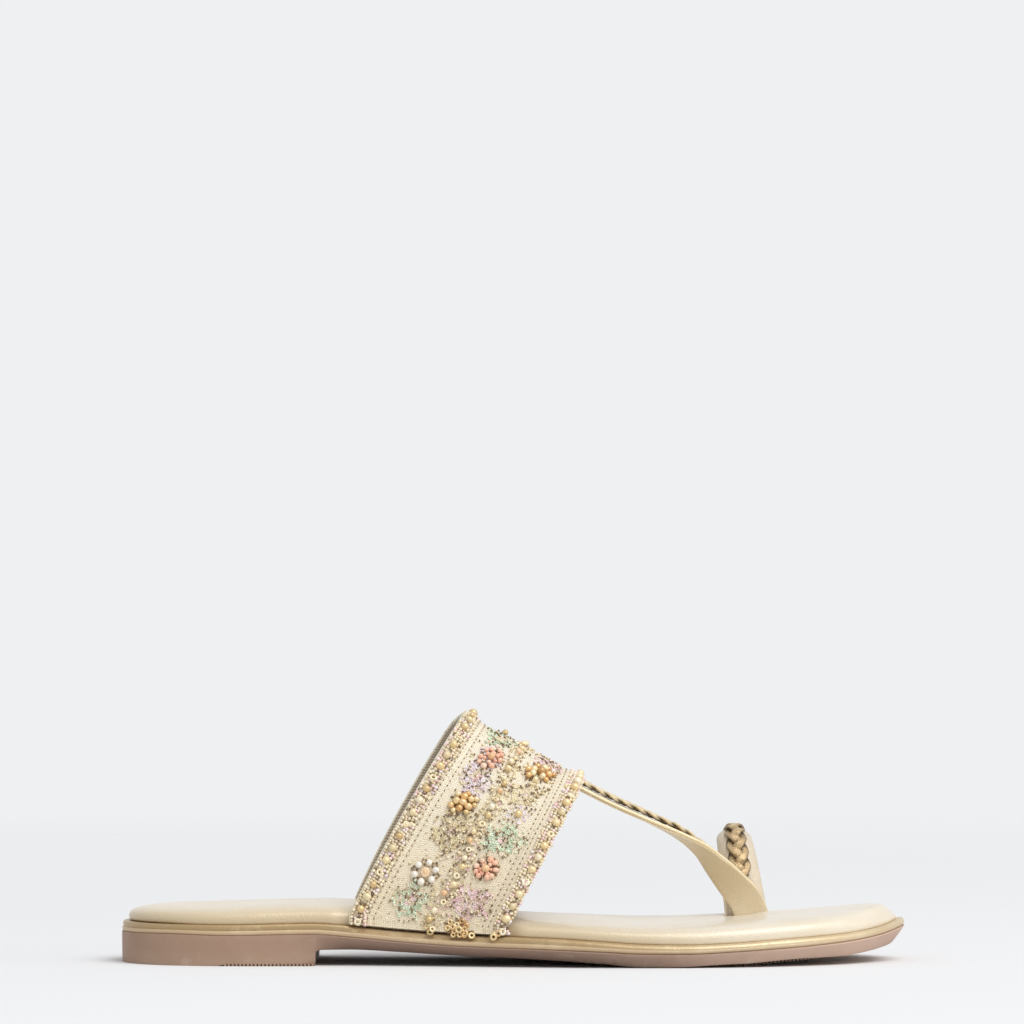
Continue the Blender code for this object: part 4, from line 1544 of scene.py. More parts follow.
    def mark_side_shade(self, pad: Piece) -> None:
        """Marks how near each point is to the pad's lower edge, for the cover's painted shade down its
        side.

        Args:
            pad: The pad.
        """
        along, _, up = points_of(pad).T
        height = (up - SOLE.rim(along)) / (SOLE.bed(along) - SOLE.rim(along))
        fore = 1 - 0.8 * smooth_step((along - 150.0) / 65.0)
        # painted shade, less of it towards the toe
        mark(pad, "edge", smooth_step((0.95 - height) / 0.5) * fore)

    def cut_slits(self, pad: Piece) -> None:
        """Cuts the slits for the toe post and for the ring's inner leg, and applies the cuts.

        Args:
            pad: The pad.
        """
        for along, across, thickness in self.slits:
            box = bmesh.new()
            bmesh.ops.create_cube(box, size=MM)
            size = (RingForm.FOOT_WIDTH + 0.7, thickness + 0.5, 2 * self.slit_depth)
            bmesh.ops.scale(box, vec=size, verts=box.verts)
            data = bpy.data.meshes.new("slit")
            box.to_mesh(data)
            box.free()
            cutter = linked("slit", data)
            cutter.location = to_world(np.array((along - 0.6, across, float(SOLE.bed(along)) + 1.5)))
            bpy.context.view_layer.update()
            modifier = pad.modifiers.new("slit", "BOOLEAN")
            modifier.operation = "DIFFERENCE"
            modifier.solver = "EXACT"
            modifier.object = cutter
            with bpy.context.temp_override(object=pad, active_object=pad, selected_objects=[pad]):
                bpy.ops.object.modifier_apply(modifier=modifier.name)
            bpy.data.objects.remove(cutter)
        pad.data.shade_smooth()
        pad.data.set_sharp_from_angle(angle=math.radians(self.smooth))


# ------------------------ beads and stitches


class Form(Enum):
    """The small shapes that are sewn on; the value is how far a bead's middle stands off the cloth."""

    ROUND = 0.92
    SEED = 0.9
    RING = 0.42
    CUP = 0.12
    STITCH = 0.0


def turned(profile: Sequence[tuple[float, float]], sides: int, closed: bool = False) -> Mesh:
    """A turned shape about the third axis.

    Args:
        profile: Radius and height of each point.
        sides: Facets round the axis.
        closed: Whether the profile joins its own start.

    Returns:
        Points and faces.
    """
    angles = np.arange(sides) / sides * 2 * math.pi
    row = [np.column_stack([r * np.cos(angles), r * np.sin(angles), np.full(sides, z)]) for r, z in profile]
    if not closed:
        return loft(np.array(row))
    count = len(row) * sides
    points, faces = loft(np.array([*row, row[0]]), capped=False)
    return points[:count], [[v % count for v in face] for face in faces]


def ball(reach: float, levels: int, sides: int, width: float, power: float, height: float) -> Mesh:
    """A turned ball; its end rows reach that share of the way to the axis, and a low power is fuller."""
    angles = np.linspace(-reach, reach, levels) * math.pi / 2
    return turned([(width * math.cos(a) ** power, height * math.sin(a)) for a in angles], sides)


def form_mesh(form: Form) -> Mesh:
    """The unit mesh of a small shape, standing on the third axis.

    Args:
        form: Which shape.

    Returns:
        Points and faces.
    """
    if form is Form.ROUND:
        return ball(0.96, 7, 10, 1.0, 1.0, 0.92)
    if form is Form.SEED:
        return ball(0.94, 5, 7, 1.0, 1.0, 0.9)
    if form is Form.RING:
        angles = np.arange(6) / 6 * 2 * math.pi
        return turned([(0.66 + 0.34 * math.cos(a), 0.42 * math.sin(a)) for a in angles], 11, True)
    if form is Form.CUP:
        profile = ((0.2, -0.02), (0.66, 0.0), (1.0, 0.22), (0.92, 0.36), (0.6, 0.16), (0.2, 0.12))
        return turned(profile, 7, True)
    points, faces = ball(0.92, 6, 6, 0.5, 0.7, 0.5)
    return points[:, [2, 1, 0]], faces


@dataclass
class Tray:
    """Small shapes of one finish, gathered and then joined into one piece."""

    name: str
    finish: Finish
    seed: int
    shapes: dict = field(default_factory=dict)

    def add(self, form: Form, centre: Array, axes: Sequence[Array], size: Sequence[float]) -> None:
        """Puts one shape in the tray, with a half size along each axis; the third points off the cloth."""
        self.shapes.setdefault(form, []).append((centre, np.array(axes) * np.array(size)[:, None]))

    def build(self) -> None:
        """Joins what the tray holds, each shape with a tint of its own."""
        rng = np.random.default_rng(self.seed)
        meshes, tints = [], []
        for form, rows in self.shapes.items():
            points, faces = form_mesh(form)
            meshes += [(centre + points @ axes, faces) for centre, axes in rows]
            tints.append(np.repeat(rng.random(len(rows)), len(points)))
        made = build_mesh(self.name, joined(meshes))
        mark(made, "tint", np.concatenate(tints))
        finish_piece(made, self.finish)


class Motif(Enum):
    """The vamp's ornaments; the value is the beadwork's method that sews one."""

    BEADS = "bead_flower"
    DAISY = "daisy"
    SEQUINS = "sequin_flower"
    SMALL = "small_flower"


@dataclass(frozen=True)
class Ornament:
    """One ornament: its kind and beads, its height along the cloth and share of the width, its radius,
    how far it is turned, and how tall it is for its width."""

    motif: Motif
    beads: Beads
    up: float
    share: float
    radius: float
    turn: float = 0.0
    tall: float = 1.0


# The ornaments of each side, from the lower edge to the crest; the inner side has its own arrangement.
ORNAMENTS = {
    Side.OUTER: (
        (Motif.BEADS, Beads.GOLD, 0.9, 0.70, 4.0, 0.3),
        (Motif.SEQUINS, Beads.MINT, 9.4, 0.325, 5.1, 0.2, 1.25),
        (Motif.SEQUINS, Beads.PINK, 10.0, 0.695, 7.3, 0.7, 0.8),
        (Motif.DAISY, Beads.WHITE, 19.6, 0.325, 4.2, 0.3),
        (Motif.BEADS, Beads.CORAL, 22.2, 0.69, 4.2),
        (Motif.SEQUINS, Beads.OLIVE, 34.2, 0.355, 5.7, 0.9, 1.5),
        (Motif.SEQUINS, Beads.MINT, 32.6, 0.70, 6.5, 0.1, 0.88),
        (Motif.SMALL, Beads.WHITE, 42.2, 0.71, 3.8, 0.5),
        (Motif.BEADS, Beads.AMBER, 44.6, 0.325, 4.3, 0.6),
        (Motif.SEQUINS, Beads.OLIVE, 51.0, 0.70, 5.6, 0.4),
        (Motif.SEQUINS, Beads.LILAC, 56.2, 0.315, 4.9, 0.6, 2.4),
        (Motif.BEADS, Beads.AMBER, 60.8, 0.71, 4.3, 0.2),
        (Motif.BEADS, Beads.CORAL, 63.2, 0.335, 4.0, 0.4, 1.25),
        (Motif.SEQUINS, Beads.PINK, 69.5, 0.74, 4.6, 0.0, 1.5),
        (Motif.SEQUINS, Beads.MINT, 77.0, 0.33, 5.2, 0.5, 1.5),
    ),
    Side.INNER: (
        (Motif.BEADS, Beads.GOLD, 0.9, 0.33, 3.9, 0.1),
        (Motif.SEQUINS, Beads.LILAC, 10.5, 0.69, 6.2, 0.4),
        (Motif.SEQUINS, Beads.MINT, 11.5, 0.32, 6.0, 0.8),
        (Motif.DAISY, Beads.WHITE, 21.0, 0.69, 4.2, 0.1),
        (Motif.BEADS, Beads.CORAL, 22.5, 0.32, 4.2, 0.5),
        (Motif.SEQUINS, Beads.PINK, 32.0, 0.68, 6.2, 0.2),
        (Motif.SEQUINS, Beads.OLIVE, 33.5, 0.32, 6.2, 0.5),
        (Motif.BEADS, Beads.AMBER, 43.5, 0.69, 4.3),
        (Motif.SMALL, Beads.WHITE, 44.5, 0.32, 3.8, 0.2),
        (Motif.SEQUINS, Beads.MINT, 53.5, 0.68, 5.8, 0.9),
        (Motif.BEADS, Beads.AMBER, 54.0, 0.33, 4.3, 0.3),
        (Motif.SEQUINS, Beads.LILAC, 65.0, 0.33, 6.0, 0.1),
        (Motif.SEQUINS, Beads.OLIVE, 66.5, 0.70, 5.4, 0.3),
        (Motif.SMALL, Beads.WHITE, 75.5, 0.34, 3.6, 0.2),
    ),
}
# The gold vine up the middle of each side: height along the cloth, share of the width.
VINES = {
    Side.OUTER: (
        (0.6, 0.515), (6.0, 0.52), (11.5, 0.525), (18.0, 0.53), (24.0, 0.525), (29.5, 0.515), (34.5, 0.50),
        (39.5, 0.51), (44.0, 0.525), (50.0, 0.52), (56.0, 0.50), (62.0, 0.485), (68.0, 0.49), (75.5, 0.51),
        (80.5, 0.51),
    ),
    Side.INNER: (
        (0.6, 0.50), (7.0, 0.49), (14.0, 0.48), (21.0, 0.49), (28.0, 0.51), (35.0, 0.52), (42.0, 0.51),
        (49.0, 0.49), (56.0, 0.50), (63.0, 0.51), (70.0, 0.51), (80.5, 0.51),
    ),
}
# Rings of beads round a bead flower's middle: distance, the beads' radius, how many.
BEAD_RINGS = {
    Beads.CORAL: ((1.75, 0.78, 6), (3.15, 0.98, 9)),
    Beads.AMBER: ((2.3, 1.3, 5), (3.7, 1.05, 7)),
    Beads.GOLD: ((2.0, 1.12, 6), (3.5, 1.1, 7)),
}


@dataclass
class Sewing:
    """What both sides' beadwork shares: the trays, and the draws of small differences."""

    trays: dict = field(default_factory=dict)
    sizes: np.random.Generator = field(default_factory=lambda: np.random.default_rng(23))
    draw: np.random.Generator = field(default_factory=lambda: np.random.default_rng(20))


@dataclass
class Beadwork:
    """The beads, sequins and stitches on one side of the vamp."""

    side: Side
    sewing: Sewing
    vine_bed: ClassVar = (
        (Beads.SEED, 0.28), (Beads.OLIVE, 0.3), (Beads.PALE_GOLD, 0.16), (Beads.PINK, 0.08),
        (Beads.DARK, 0.18),
    )
    vine_beads: ClassVar = (
        Beads.PALE_GOLD, Beads.GOLD, Beads.PALE_GOLD, Beads.PALE_GOLD, Beads.PEACH, Beads.GOLD,
    )
    border_bed: ClassVar = (
        (Beads.SEED, 0.56), (Beads.PINK, 0.14), (Beads.PALE_GOLD, 0.16), (Beads.LILAC, 0.07),
        (Beads.DARK, 0.07),
    )
    border_beads: ClassVar = (Beads.PALE_GOLD, Beads.GOLD, Beads.OLIVE, Beads.GOLD)
    strays: ClassVar = ((Beads.DARK, 0.38), (Beads.OLIVE, 0.32), (Beads.SEED, 0.3))
    # Beads over the lower edge: height along the cloth, share of the width, radius.
    overhang: ClassVar = (
        (-0.4, 0.515, 1.2), (-0.9, 0.925, 1.25), (0.3, 0.955, 1.1), (1.2, 0.49, 1.05),
    )
    stray_count: int = 260
    band: float = 44.0  # the band's width, near enough
    bed_pitch: float = 1.06
    stitch: tuple[float, float, float] = (1.4, 0.46, 0.4)
    stitch_pitch: float = 1.85

    def vary(self, low: float, high: float) -> float:
        """The next draw between two numbers."""
        return self.sewing.draw.uniform(low, high)

    def sew(self, beads: Beads, form: Form, up: float, share: float, radius: float,
            tilt: tuple[float, float] = (0.0, 0.0), sink: float = 0.35) -> None:
        """Sews one bead or sequin to the cloth.

        Args:
            beads: Its finish.
            form: Its shape.
            up: Height along the cloth.
            share: Share of the band's width.
            radius: Its radius.
            tilt: How far it leans to the front and along the cloth, in radians.
            sink: Share of the radius that the centre lies under a bead that only touches.
        """
        lower = {Form.RING: sink / 3, Form.CUP: 0.0}.get(form, sink)
        spot = VAMP.spot(self.side, up, share, (form.value - lower) * radius)
        away = unit(spot.away + tilt[0] * spot.front + tilt[1] * spot.round_it)
        first = square_to(away, spot.front)
        uneven = radius * self.sewing.sizes.uniform(0.88, 1.12, 3)
        trays = self.sewing.trays
        if beads not in trays:
            trays[beads] = Tray(beads.value.name.replace(" ", "_"), beads.value, 11 + len(trays))
        trays[beads].add(form, spot.point, (first, np.cross(away, first), away), uneven)

    def scatter(self, up: float, share: float, mix: Sequence[tuple[Beads, float]], size: float,
                form: Form = Form.SEED) -> None:
        """Sews one small bead of a finish drawn from a mix.

        Args:
            up: Height along the cloth.
            share: Share of the band's width.
            mix: Finishes, each with its part of the whole.
            size: Its middling radius; dark ones are smaller.
            form: Its shape.
        """
        left = self.sewing.draw.random()
        for beads, part in mix:
            left -= part
            if left <= 0:
                break
        else:
            return
        if beads is Beads.DARK:
            self.sew(beads, Form.SEED, up, share, 0.33 * self.vary(0.8, 1.2), sink=-0.5)
        else:
            tilt = (self.vary(-0.5, 0.5), self.vary(-0.5, 0.5))
            self.sew(beads, form, up, share, size * self.vary(0.82, 1.18), tilt, sink=0.2)

    def about(self, ornament: Ornament) -> Callable[[float, float], tuple[float, float]]:
        """The chart about an ornament's middle.

        The band's own lines lean forward, so a place straight up the cloth has a smaller share.

        Args:
            ornament: The ornament.

        Returns:
            A function that gives the height and the share at a distance and an angle.
        """
        share, up = ornament.share, max(ornament.up, VAMP.DROP + 1.1)
        turn, drop = VAMP.place(self.side, up, share)
        low, high = (VAMP.point(*VAMP.place(self.side, up + step, share), share) for step in (-1.0, 1.0))
        lean = float((high - low) @ VAMP.directions(turn, drop, share)[1]) / 2
        rise, width = math.sqrt(max(1 - lean * lean, 0.2)), VAMP.width(turn)

        def at(reach: float, angle: float) -> tuple[float, float]:
            """Height and share at a distance and an angle."""
            climb = reach * math.sin(angle) * ornament.tall / rise
            return max(ornament.up + climb, -1.2), share + (reach * math.cos(angle) - climb * lean) / width

        return at

    def bead_flower(self, flower: Ornament) -> None:
        """A close flower of round beads: a raised middle, rings of beads, and dark seeds in the gaps
        as painted shade.

        Args:
            flower: The ornament.
        """
        at, own = self.about(flower), flower.beads
        form, squash = (Form.RING, 0.78) if own is Beads.GOLD else (Form.ROUND, 1.0)
        centre = Beads.PEACH if own is Beads.CORAL else own
        self.sew(centre, form, flower.up, flower.share, 1.3, sink=-0.2)
        for distance, radius, count in BEAD_RINGS[own]:
            step = 2 * math.pi / count
            for number in range(count):
                angle = flower.turn + (number + self.vary(-0.22, 0.22)) * step
                up, share = at(distance * self.vary(0.9, 1.1), angle)
                beads = own
                if own is Beads.GOLD and self.sewing.draw.random() < 0.6:
                    beads = Beads.AMBER
                elif own is Beads.AMBER and self.sewing.draw.random() < 0.3:
                    beads = Beads.GOLD
                tilt = (self.vary(-0.5, 0.5), self.vary(-0.2, 0.5))
                up = flower.up + squash * (up - flower.up)
                self.sew(beads, form, up, share, radius * self.vary(0.85, 1.1), tilt, sink=0.1)
                # dark seeds in the gaps: painted shade
                for out in (0.7, 0.1):
                    up, share = at(distance + out, angle + step / 2)
                    up = flower.up + squash * (up - flower.up)
                    self.sew(Beads.DARK, Form.SEED, up, share, self.vary(0.36, 0.5))

    def daisy(self, flower: Ornament) -> None:
        """A daisy of six white pearls round a peach bead, with dark seeds in the gaps as painted shade.

        Args:
            flower: The ornament.
        """
        at = self.about(flower)
        self.sew(Beads.PEACH, Form.RING, flower.up, flower.share, 1.65, sink=-0.2)
        self.sew(Beads.PEACH, Form.ROUND, flower.up, flower.share, 1.1, sink=0.2)
        for petal in range(6):
            angle = flower.turn + petal * math.pi / 3
            pearl = at(flower.radius * 0.78, angle)
            self.sew(Beads.WHITE, Form.ROUND, *pearl, 1.15 * self.vary(0.94, 1.05), sink=0.2)
            # dark seeds in the gaps: painted shade
            for off, out in ((0.35, 0.88), (0.55, 0.95), (0.72, 0.8), (0.5, 0.6)):
                speck = at(flower.radius * out * 1.1, angle + off)
                self.sew(Beads.DARK, Form.SEED, *speck, self.vary(0.34, 0.46))

    def sequin_flower(self, flower: Ornament) -> None:
        """A round flower with five shallow lobes, filled with small sequins set close together, with dark
        seeds among them as painted shade in their gaps.

        Args:
            flower: The ornament.
        """
        at, pitch, jitter = self.about(flower), 0.95, 0.25
        steps = int(1.2 * flower.radius * max(flower.tall, 1.0) / pitch) + 3
        # the dark seeds among the sequins are painted shade in their gaps
        own = ((flower.beads, 0.62), (Beads.SEED, 0.14), (Beads.DARK, 0.24))
        heart = ((Beads.SEED, 0.4), (Beads.PINK, 0.3), (Beads.DARK, 0.3))
        for i in range(-steps, steps + 1):
            for j in range(-steps, steps + 1):
                ahead = (i + 0.5 * (j % 2)) * pitch + self.vary(-jitter, jitter)
                aside = (j * pitch * 0.87 + self.vary(-jitter, jitter)) / flower.tall
                distance, angle = math.hypot(ahead, aside), math.atan2(aside, ahead)
                reach = flower.radius * (0.88 + 0.14 * math.cos(5 * (angle - flower.turn)))
                if distance > reach or self.sewing.draw.random() < 0.05:
                    continue
                self.scatter(*at(distance, angle), heart if distance < 1.5 else own, 0.66, Form.CUP)
        for _ in range(14):
            place = at(flower.radius * self.vary(0.98, 1.15), self.vary(0, 2 * math.pi))
            self.scatter(*place, ((flower.beads, 0.5), (Beads.DARK, 0.5)), 0.5)

    def small_flower(self, flower: Ornament) -> None:
        """A small flower of sequins round a gold bead.

        Args:
            flower: The ornament.
        """
        at = self.about(flower)
        mix = ((flower.beads, 0.4), (Beads.LILAC, 0.35), (Beads.DARK, 0.25))
        self.sew(Beads.GOLD, Form.ROUND, flower.up, flower.share, 1.2, sink=0.0)
        for distance, count in ((1.9, 7), (3.1, 11)):
            for petal in range(count):
                place = at(distance, flower.turn + petal * 2 * math.pi / count)
                self.scatter(*place, mix, 0.66, Form.CUP)

    def build_vine(self) -> None:
        """The vine along the middle: gold and peach beads on a bed of small ones."""
        line, places = SmoothTable(VINES[self.side]), VINES[self.side]
        start, end = places[0][0], places[-1][0]
        for up in np.arange(start + 0.3, end, 1.1):
            for aside in np.arange(-2.3, 2.4, 1.12):
                if self.sewing.draw.random() < 0.14:
                    continue
                share = float(line(up)) + (aside + self.vary(-0.3, 0.3)) / self.band
                form = Form.CUP if self.sewing.draw.random() < 0.55 else Form.SEED
                self.scatter(up + self.vary(-0.35, 0.35), share, self.vine_bed, 0.56, form)
        for number, up in enumerate(np.arange(start, end, 3.1)):
            share = float(line(up)) + self.vary(-0.016, 0.016)
            form = Form.RING if number % 3 == 0 else Form.ROUND
            beads = self.vine_beads[number % len(self.vine_beads)]
            self.sew(beads, form, up, share, self.vary(1.0, 1.2), (0.0, 0.3), sink=-0.1)

    def share_at(self, front: bool, from_edge: float, up: float) -> float:
        """The share of the width at a distance from an edge.

        Args:
            front: Whether it is the front edge.
            from_edge: The distance.
            up: Height along the cloth.

        Returns:
            The share.
        """
        turn, _ = VAMP.place(self.side, up, float(front))
        part = from_edge / VAMP.width(turn)
        return 1 - part if front else part

    def build_border(self, front: bool) -> None:
        """The beads along one edge: a close bed of seeds, and large gold beads standing on it, each with
        dark seeds round it as painted shadow.

        Args:
            front: Whether it is the front edge.
        """
        top = VAMP.half_height(float(front))
        start, line = (-0.75, 0.75) if front else (0.3, 2.3)
        for up in np.arange(0.3, top, self.bed_pitch):
            for column, from_edge in enumerate(np.arange(start, start + 4.4, self.bed_pitch)):
                if self.sewing.draw.random() < 0.08:
                    continue
                share = self.share_at(front, from_edge + self.vary(-0.22, 0.22), up)
                at = up + self.bed_pitch / 2 * (column % 2) + self.vary(-0.2, 0.2)
                self.scatter(at, share, self.border_bed, 0.58)
        for number, up in enumerate(np.arange(0.9, top, 4.3)):
            beads = self.border_beads[number % 4]
            form = Form.RING if number % 4 == 0 else Form.ROUND
            size, share = self.vary(1.2, 1.42), self.share_at(front, line, up)
            self.sew(beads, form, up, share, size, (0.0, 0.3), sink=0.12)
            # dark seeds round each large bead: painted shadow
            for off_up, off_edge in ((-1.6, 0.1), (0.3, 1.6), (1.5, 0.4), (0.9, -1.3)):
                at = max(up + off_up, 0.2)
                share = self.share_at(front, line + off_edge, at)
                self.sew(Beads.DARK, Form.SEED, at, share, self.vary(0.3, 0.42), sink=-0.3)

    def build_strays(self) -> None:
        """Single seeds and dark specks between the ornaments, thicker towards the middle of the band."""
        for _ in range(self.stray_count):
            up, share = self.vary(2.0, 78.0), self.sewing.draw.normal(0.52, 0.16)
            self.scatter(up, float(np.clip(share, 0.2, 0.82)), self.strays, 0.46)

    def build_overhang(self) -> None:
        """Ring beads that hang over the lower edge."""
        for up, share, radius in self.overhang:
            self.sew(Beads.GOLD, Form.RING, up, share, radius, (0.2, -0.3), sink=-0.3)

    def stitch_line(self, thread: Tray, front: bool, from_edge: float) -> None:
        """One line of stitches, with a dark needle hole at the end of each stitch.

        Args:
            thread: The tray for the stitches.
            front: Whether the line is beside the front edge.
            from_edge: Its distance from the edge.
        """
        for up in np.arange(1.4, VAMP.half_height(float(front)), self.stitch_pitch):
            spot = VAMP.spot(self.side, up, self.share_at(front, from_edge, up), 0.10)
            thread.add(Form.STITCH, spot.point, (spot.round_it, spot.front, spot.away), self.stitch)
            hole = up + self.stitch_pitch / 2
            self.sew(Beads.DARK, Form.SEED, hole, self.share_at(front, from_edge, hole), 0.24, sink=0.3)

    def build(self) -> None:
        """Sews the ornaments, the vine and both borders."""
        for row in ORNAMENTS[self.side]:
            ornament = Ornament(*row)
            getattr(self, ornament.motif.value)(ornament)
        self.build_vine()
        for front in (False, True):
            self.build_border(front)


@dataclass
class BeadedVamp:
    """The vamp: canvas turned over its edges, tape lining, stitched borders, beads, sequins and vine."""

    canvas_thickness: float = 1.15
    lining_in: float = 0.35
    row_step: float = 1.05
    near_columns: tuple[float, ...] = (
        0.0, 0.25, 0.6, 1.1, 1.8, 2.7, 3.6, 4.4, 4.9, 5.15, 5.4, 5.65, 5.9, 6.2, 6.4, 6.6, 6.85, 7.1,
        7.4, 7.7, 8.1, 8.8,
    )
    middle_columns: int = 24
    chart_columns: int = 25
    chart_width: float = 45.5
    chart_block: int = 1500  # points charted at a time

    def rows(self) -> tuple[Array, Array]:
        """The cloth's rows, evenly spaced along it.

        Returns:
            Their turns and their drops.
        """
        run = VAMP.run_table(0.5)
        count = round(run[-1] / self.row_step)
        turns = np.interp(np.linspace(0.0, run[-1], count + 1), run, VAMP.turns)
        drops = np.array([VAMP.DROP, VAMP.DROP * 2 / 3, VAMP.DROP / 3])
        turns = np.concatenate([[0.0] * 3, turns, [math.pi] * 3])
        return turns, np.concatenate([drops, np.zeros(count + 1), drops[::-1]])

    def shell(self, outer: float, inner: float, tuck: float, relief: bool) -> Array:
        """Rows of a closed sheet over the form.

        Args:
            outer: The outer face's offset from the form.
            inner: The inner face's offset.
            tuck: How far the sheet's edges stop short of the band's.
            relief: Whether the outer face has the hems and the stitch channels.

        Returns:
            Rows of points: out over the face, round the front edge, back inside and round the back edge.
        """
        near = np.array(self.near_columns)
        angles = np.radians((60.0, 30.0, 0.0, -30.0, -60.0))[:, None]
        found = []
        for turn, drop in zip(*self.rows()):
            width = VAMP.width(turn)
            middle = np.linspace(near[-1], width - near[-1], self.middle_columns + 2)[1:-1]
            places = np.concatenate([near, middle, (width - near)[::-1]])
            places = tuck + places * (width - 2 * tuck) / width
            share = places / width
            away, front, _ = VAMP.directions(turn, drop, share)
            face = VAMP.point(turn, drop, share)
            lift = outer + VAMP.relief(np.minimum(places, width - places)) * relief
            ends = []
            for place, way in ((-1, 1), (0, -1)):
                radius = (lift[place] - inner) / 2
                centre = face[place] + away[place] * (lift[place] + inner) / 2
                out = way * front[place] * radius * np.cos(angles) * 0.9
                ends.append((centre + away[place] * radius * np.sin(angles) + out)[::way])
            lower = (face + away * inner)[::-3]
            found.append(np.concatenate([face + away * lift[:, None], ends[0], lower, ends[1]]))
        return np.array(found)

    def chart(self, places: Array) -> Array:
        """The cloth's own chart: millimetres across the band and along it.

        Args:
            places: Points of the vamp, in millimetres.

        Returns:
            The two distances at each point.
        """
        turns, drops = self.rows()
        shares = np.linspace(0.0, 1.0, self.chart_columns)
        grid = np.broadcast_arrays(turns[:, None], drops[:, None], shares[None, :])
        face = VAMP.point(*grid).reshape(-1, 3)
        _, front, round_it = (way.reshape(-1, 3) for way in VAMP.directions(*grid))
        steps = np.linalg.norm(np.diff(VAMP.point(turns, drops, 0.5), axis=0), axis=1)
        along = np.repeat(np.concatenate([[0.0], np.cumsum(steps)]), len(shares))
        across = grid[2].reshape(-1) * self.chart_width
        chart = []
        for start in range(0, len(places), self.chart_block):
            block = places[start : start + self.chart_block]
            nearest = ((block[:, None, :] - face[None, :, :]) ** 2).sum(axis=2).argmin(axis=1)
            off = block - face[nearest]
            found = [
                run[nearest] + (off * way[nearest]).sum(axis=1)
                for run, way in ((across, front), (along, round_it))
            ]
            chart.append(np.stack(found, axis=1))
        return np.concatenate(chart)

    def build_sheet(self, name: str, rows: Array, finish: Finish) -> None:
        """One sheet of the vamp, with the cloth's chart as its map.

        Args:
            name: The sheet's name.
            rows: Its rows of points.
            finish: Its surface.
        """
        made = skin(name, rows, 60.0, capped=True)
        places = self.chart(points_of(made))
        corners = np.empty(len(made.data.loops), int)
        made.data.loops.foreach_get("vertex_index", corners)
        made.data.uv_layers.new(name="cloth").data.foreach_set("uv", places[corners].ravel())
        finish_piece(made, finish, "upper")

    def build(self) -> None:
        """Builds the sheets, the stitches and every bead."""
        depth = self.canvas_thickness
        self.build_sheet("vamp_canvas", self.shell(0.0, -depth, 0.0, True), CANVAS)
        self.build_sheet("vamp_lining", self.shell(-depth - 0.06, -VAMP.WALL, self.lining_in, False), TAPE)
        sewing = Sewing()
        sides = [Beadwork(side, sewing) for side in Side]
        thread = Tray("vamp_stitches", THREAD, 5)
        for front in (False, True):
            for from_edge in VAMP.STITCH_LINES:
                for work in sides:
                    work.stitch_line(thread, front, from_edge)
        thread.build()
        for work in sides:
            work.build()
        for work in sides:
            work.build_strays()
        sides[0].build_overhang()
        for tray in sewing.trays.values():
            tray.build()


# ------------------------ strap, ring and plaits


@dataclass
class Strip:
    """A folded leather strip: a rounded face layer over a slightly narrower backing."""

    name: str
    sections: list[Section]
    thickness: float
    finish: Finish = STRAP_LEATHER
    backing_share: float = 0.2
    crown: float = 0.12  # how far the face swells in the middle
    seam: float = 0.02  # between the face and the backing
    bow: float = 0.0  # how far the edges bend down below the middle

    def layer(self, name: str, narrow: float, low: float, high: float, crown: float) -> Piece:
        """One layer with rounded edges along all the sections.

        Args:
            name: The layer's name.
            narrow: How much narrower it is on each side.
            low: Its lower face.
            high: Its upper face at the edges' roll.
            crown: How far the upper face swells in the middle.

        Returns:
            The layer.
        """
        radius, middle = (high - low) / 2, (high + low) / 2
        right, left = (np.radians(np.linspace(start, end, 7)) for start, end in ((-80, 80), (100, 260)))
        over, under = np.linspace(0.82, -0.82, 9), np.linspace(-0.8, 0.8, 5)
        rows = []
        for section in self.sections:
            flat = section.width / 2 - narrow - radius
            shape = np.concatenate([
                np.column_stack([flat + radius * np.cos(right), middle + radius * np.sin(right)]),
                np.column_stack([over * flat, high + crown * (1 - over * over)]),
                np.column_stack([-flat + radius * np.cos(left), middle + radius * np.sin(left)]),
                np.column_stack([under * flat, np.full(len(under), low)]),
            ])
            shape[:, 1] -= self.bow * np.abs(2 * shape[:, 0] / section.width) ** 3
            rows.append(section.centre + shape[:, :1] * section.side + shape[:, 1:] * section.normal)
        return skin(name, rows, 50.0, capped=True)

    def build(self, replaced: str) -> None:
        """Builds the face layer and the backing.

        Args:
            replaced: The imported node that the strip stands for.
        """
        half, crown = self.thickness / 2, self.crown
        split = -half + self.thickness * self.backing_share
        face = self.layer(self.name + "_face", 0.0, split, half - crown, crown)
        backing = self.layer(self.name + "_backing", 0.12, -half, split - self.seam, 0.0)
        finish_piece(face, self.finish, replaced)
        finish_piece(backing, STRAP_BACKING, replaced)


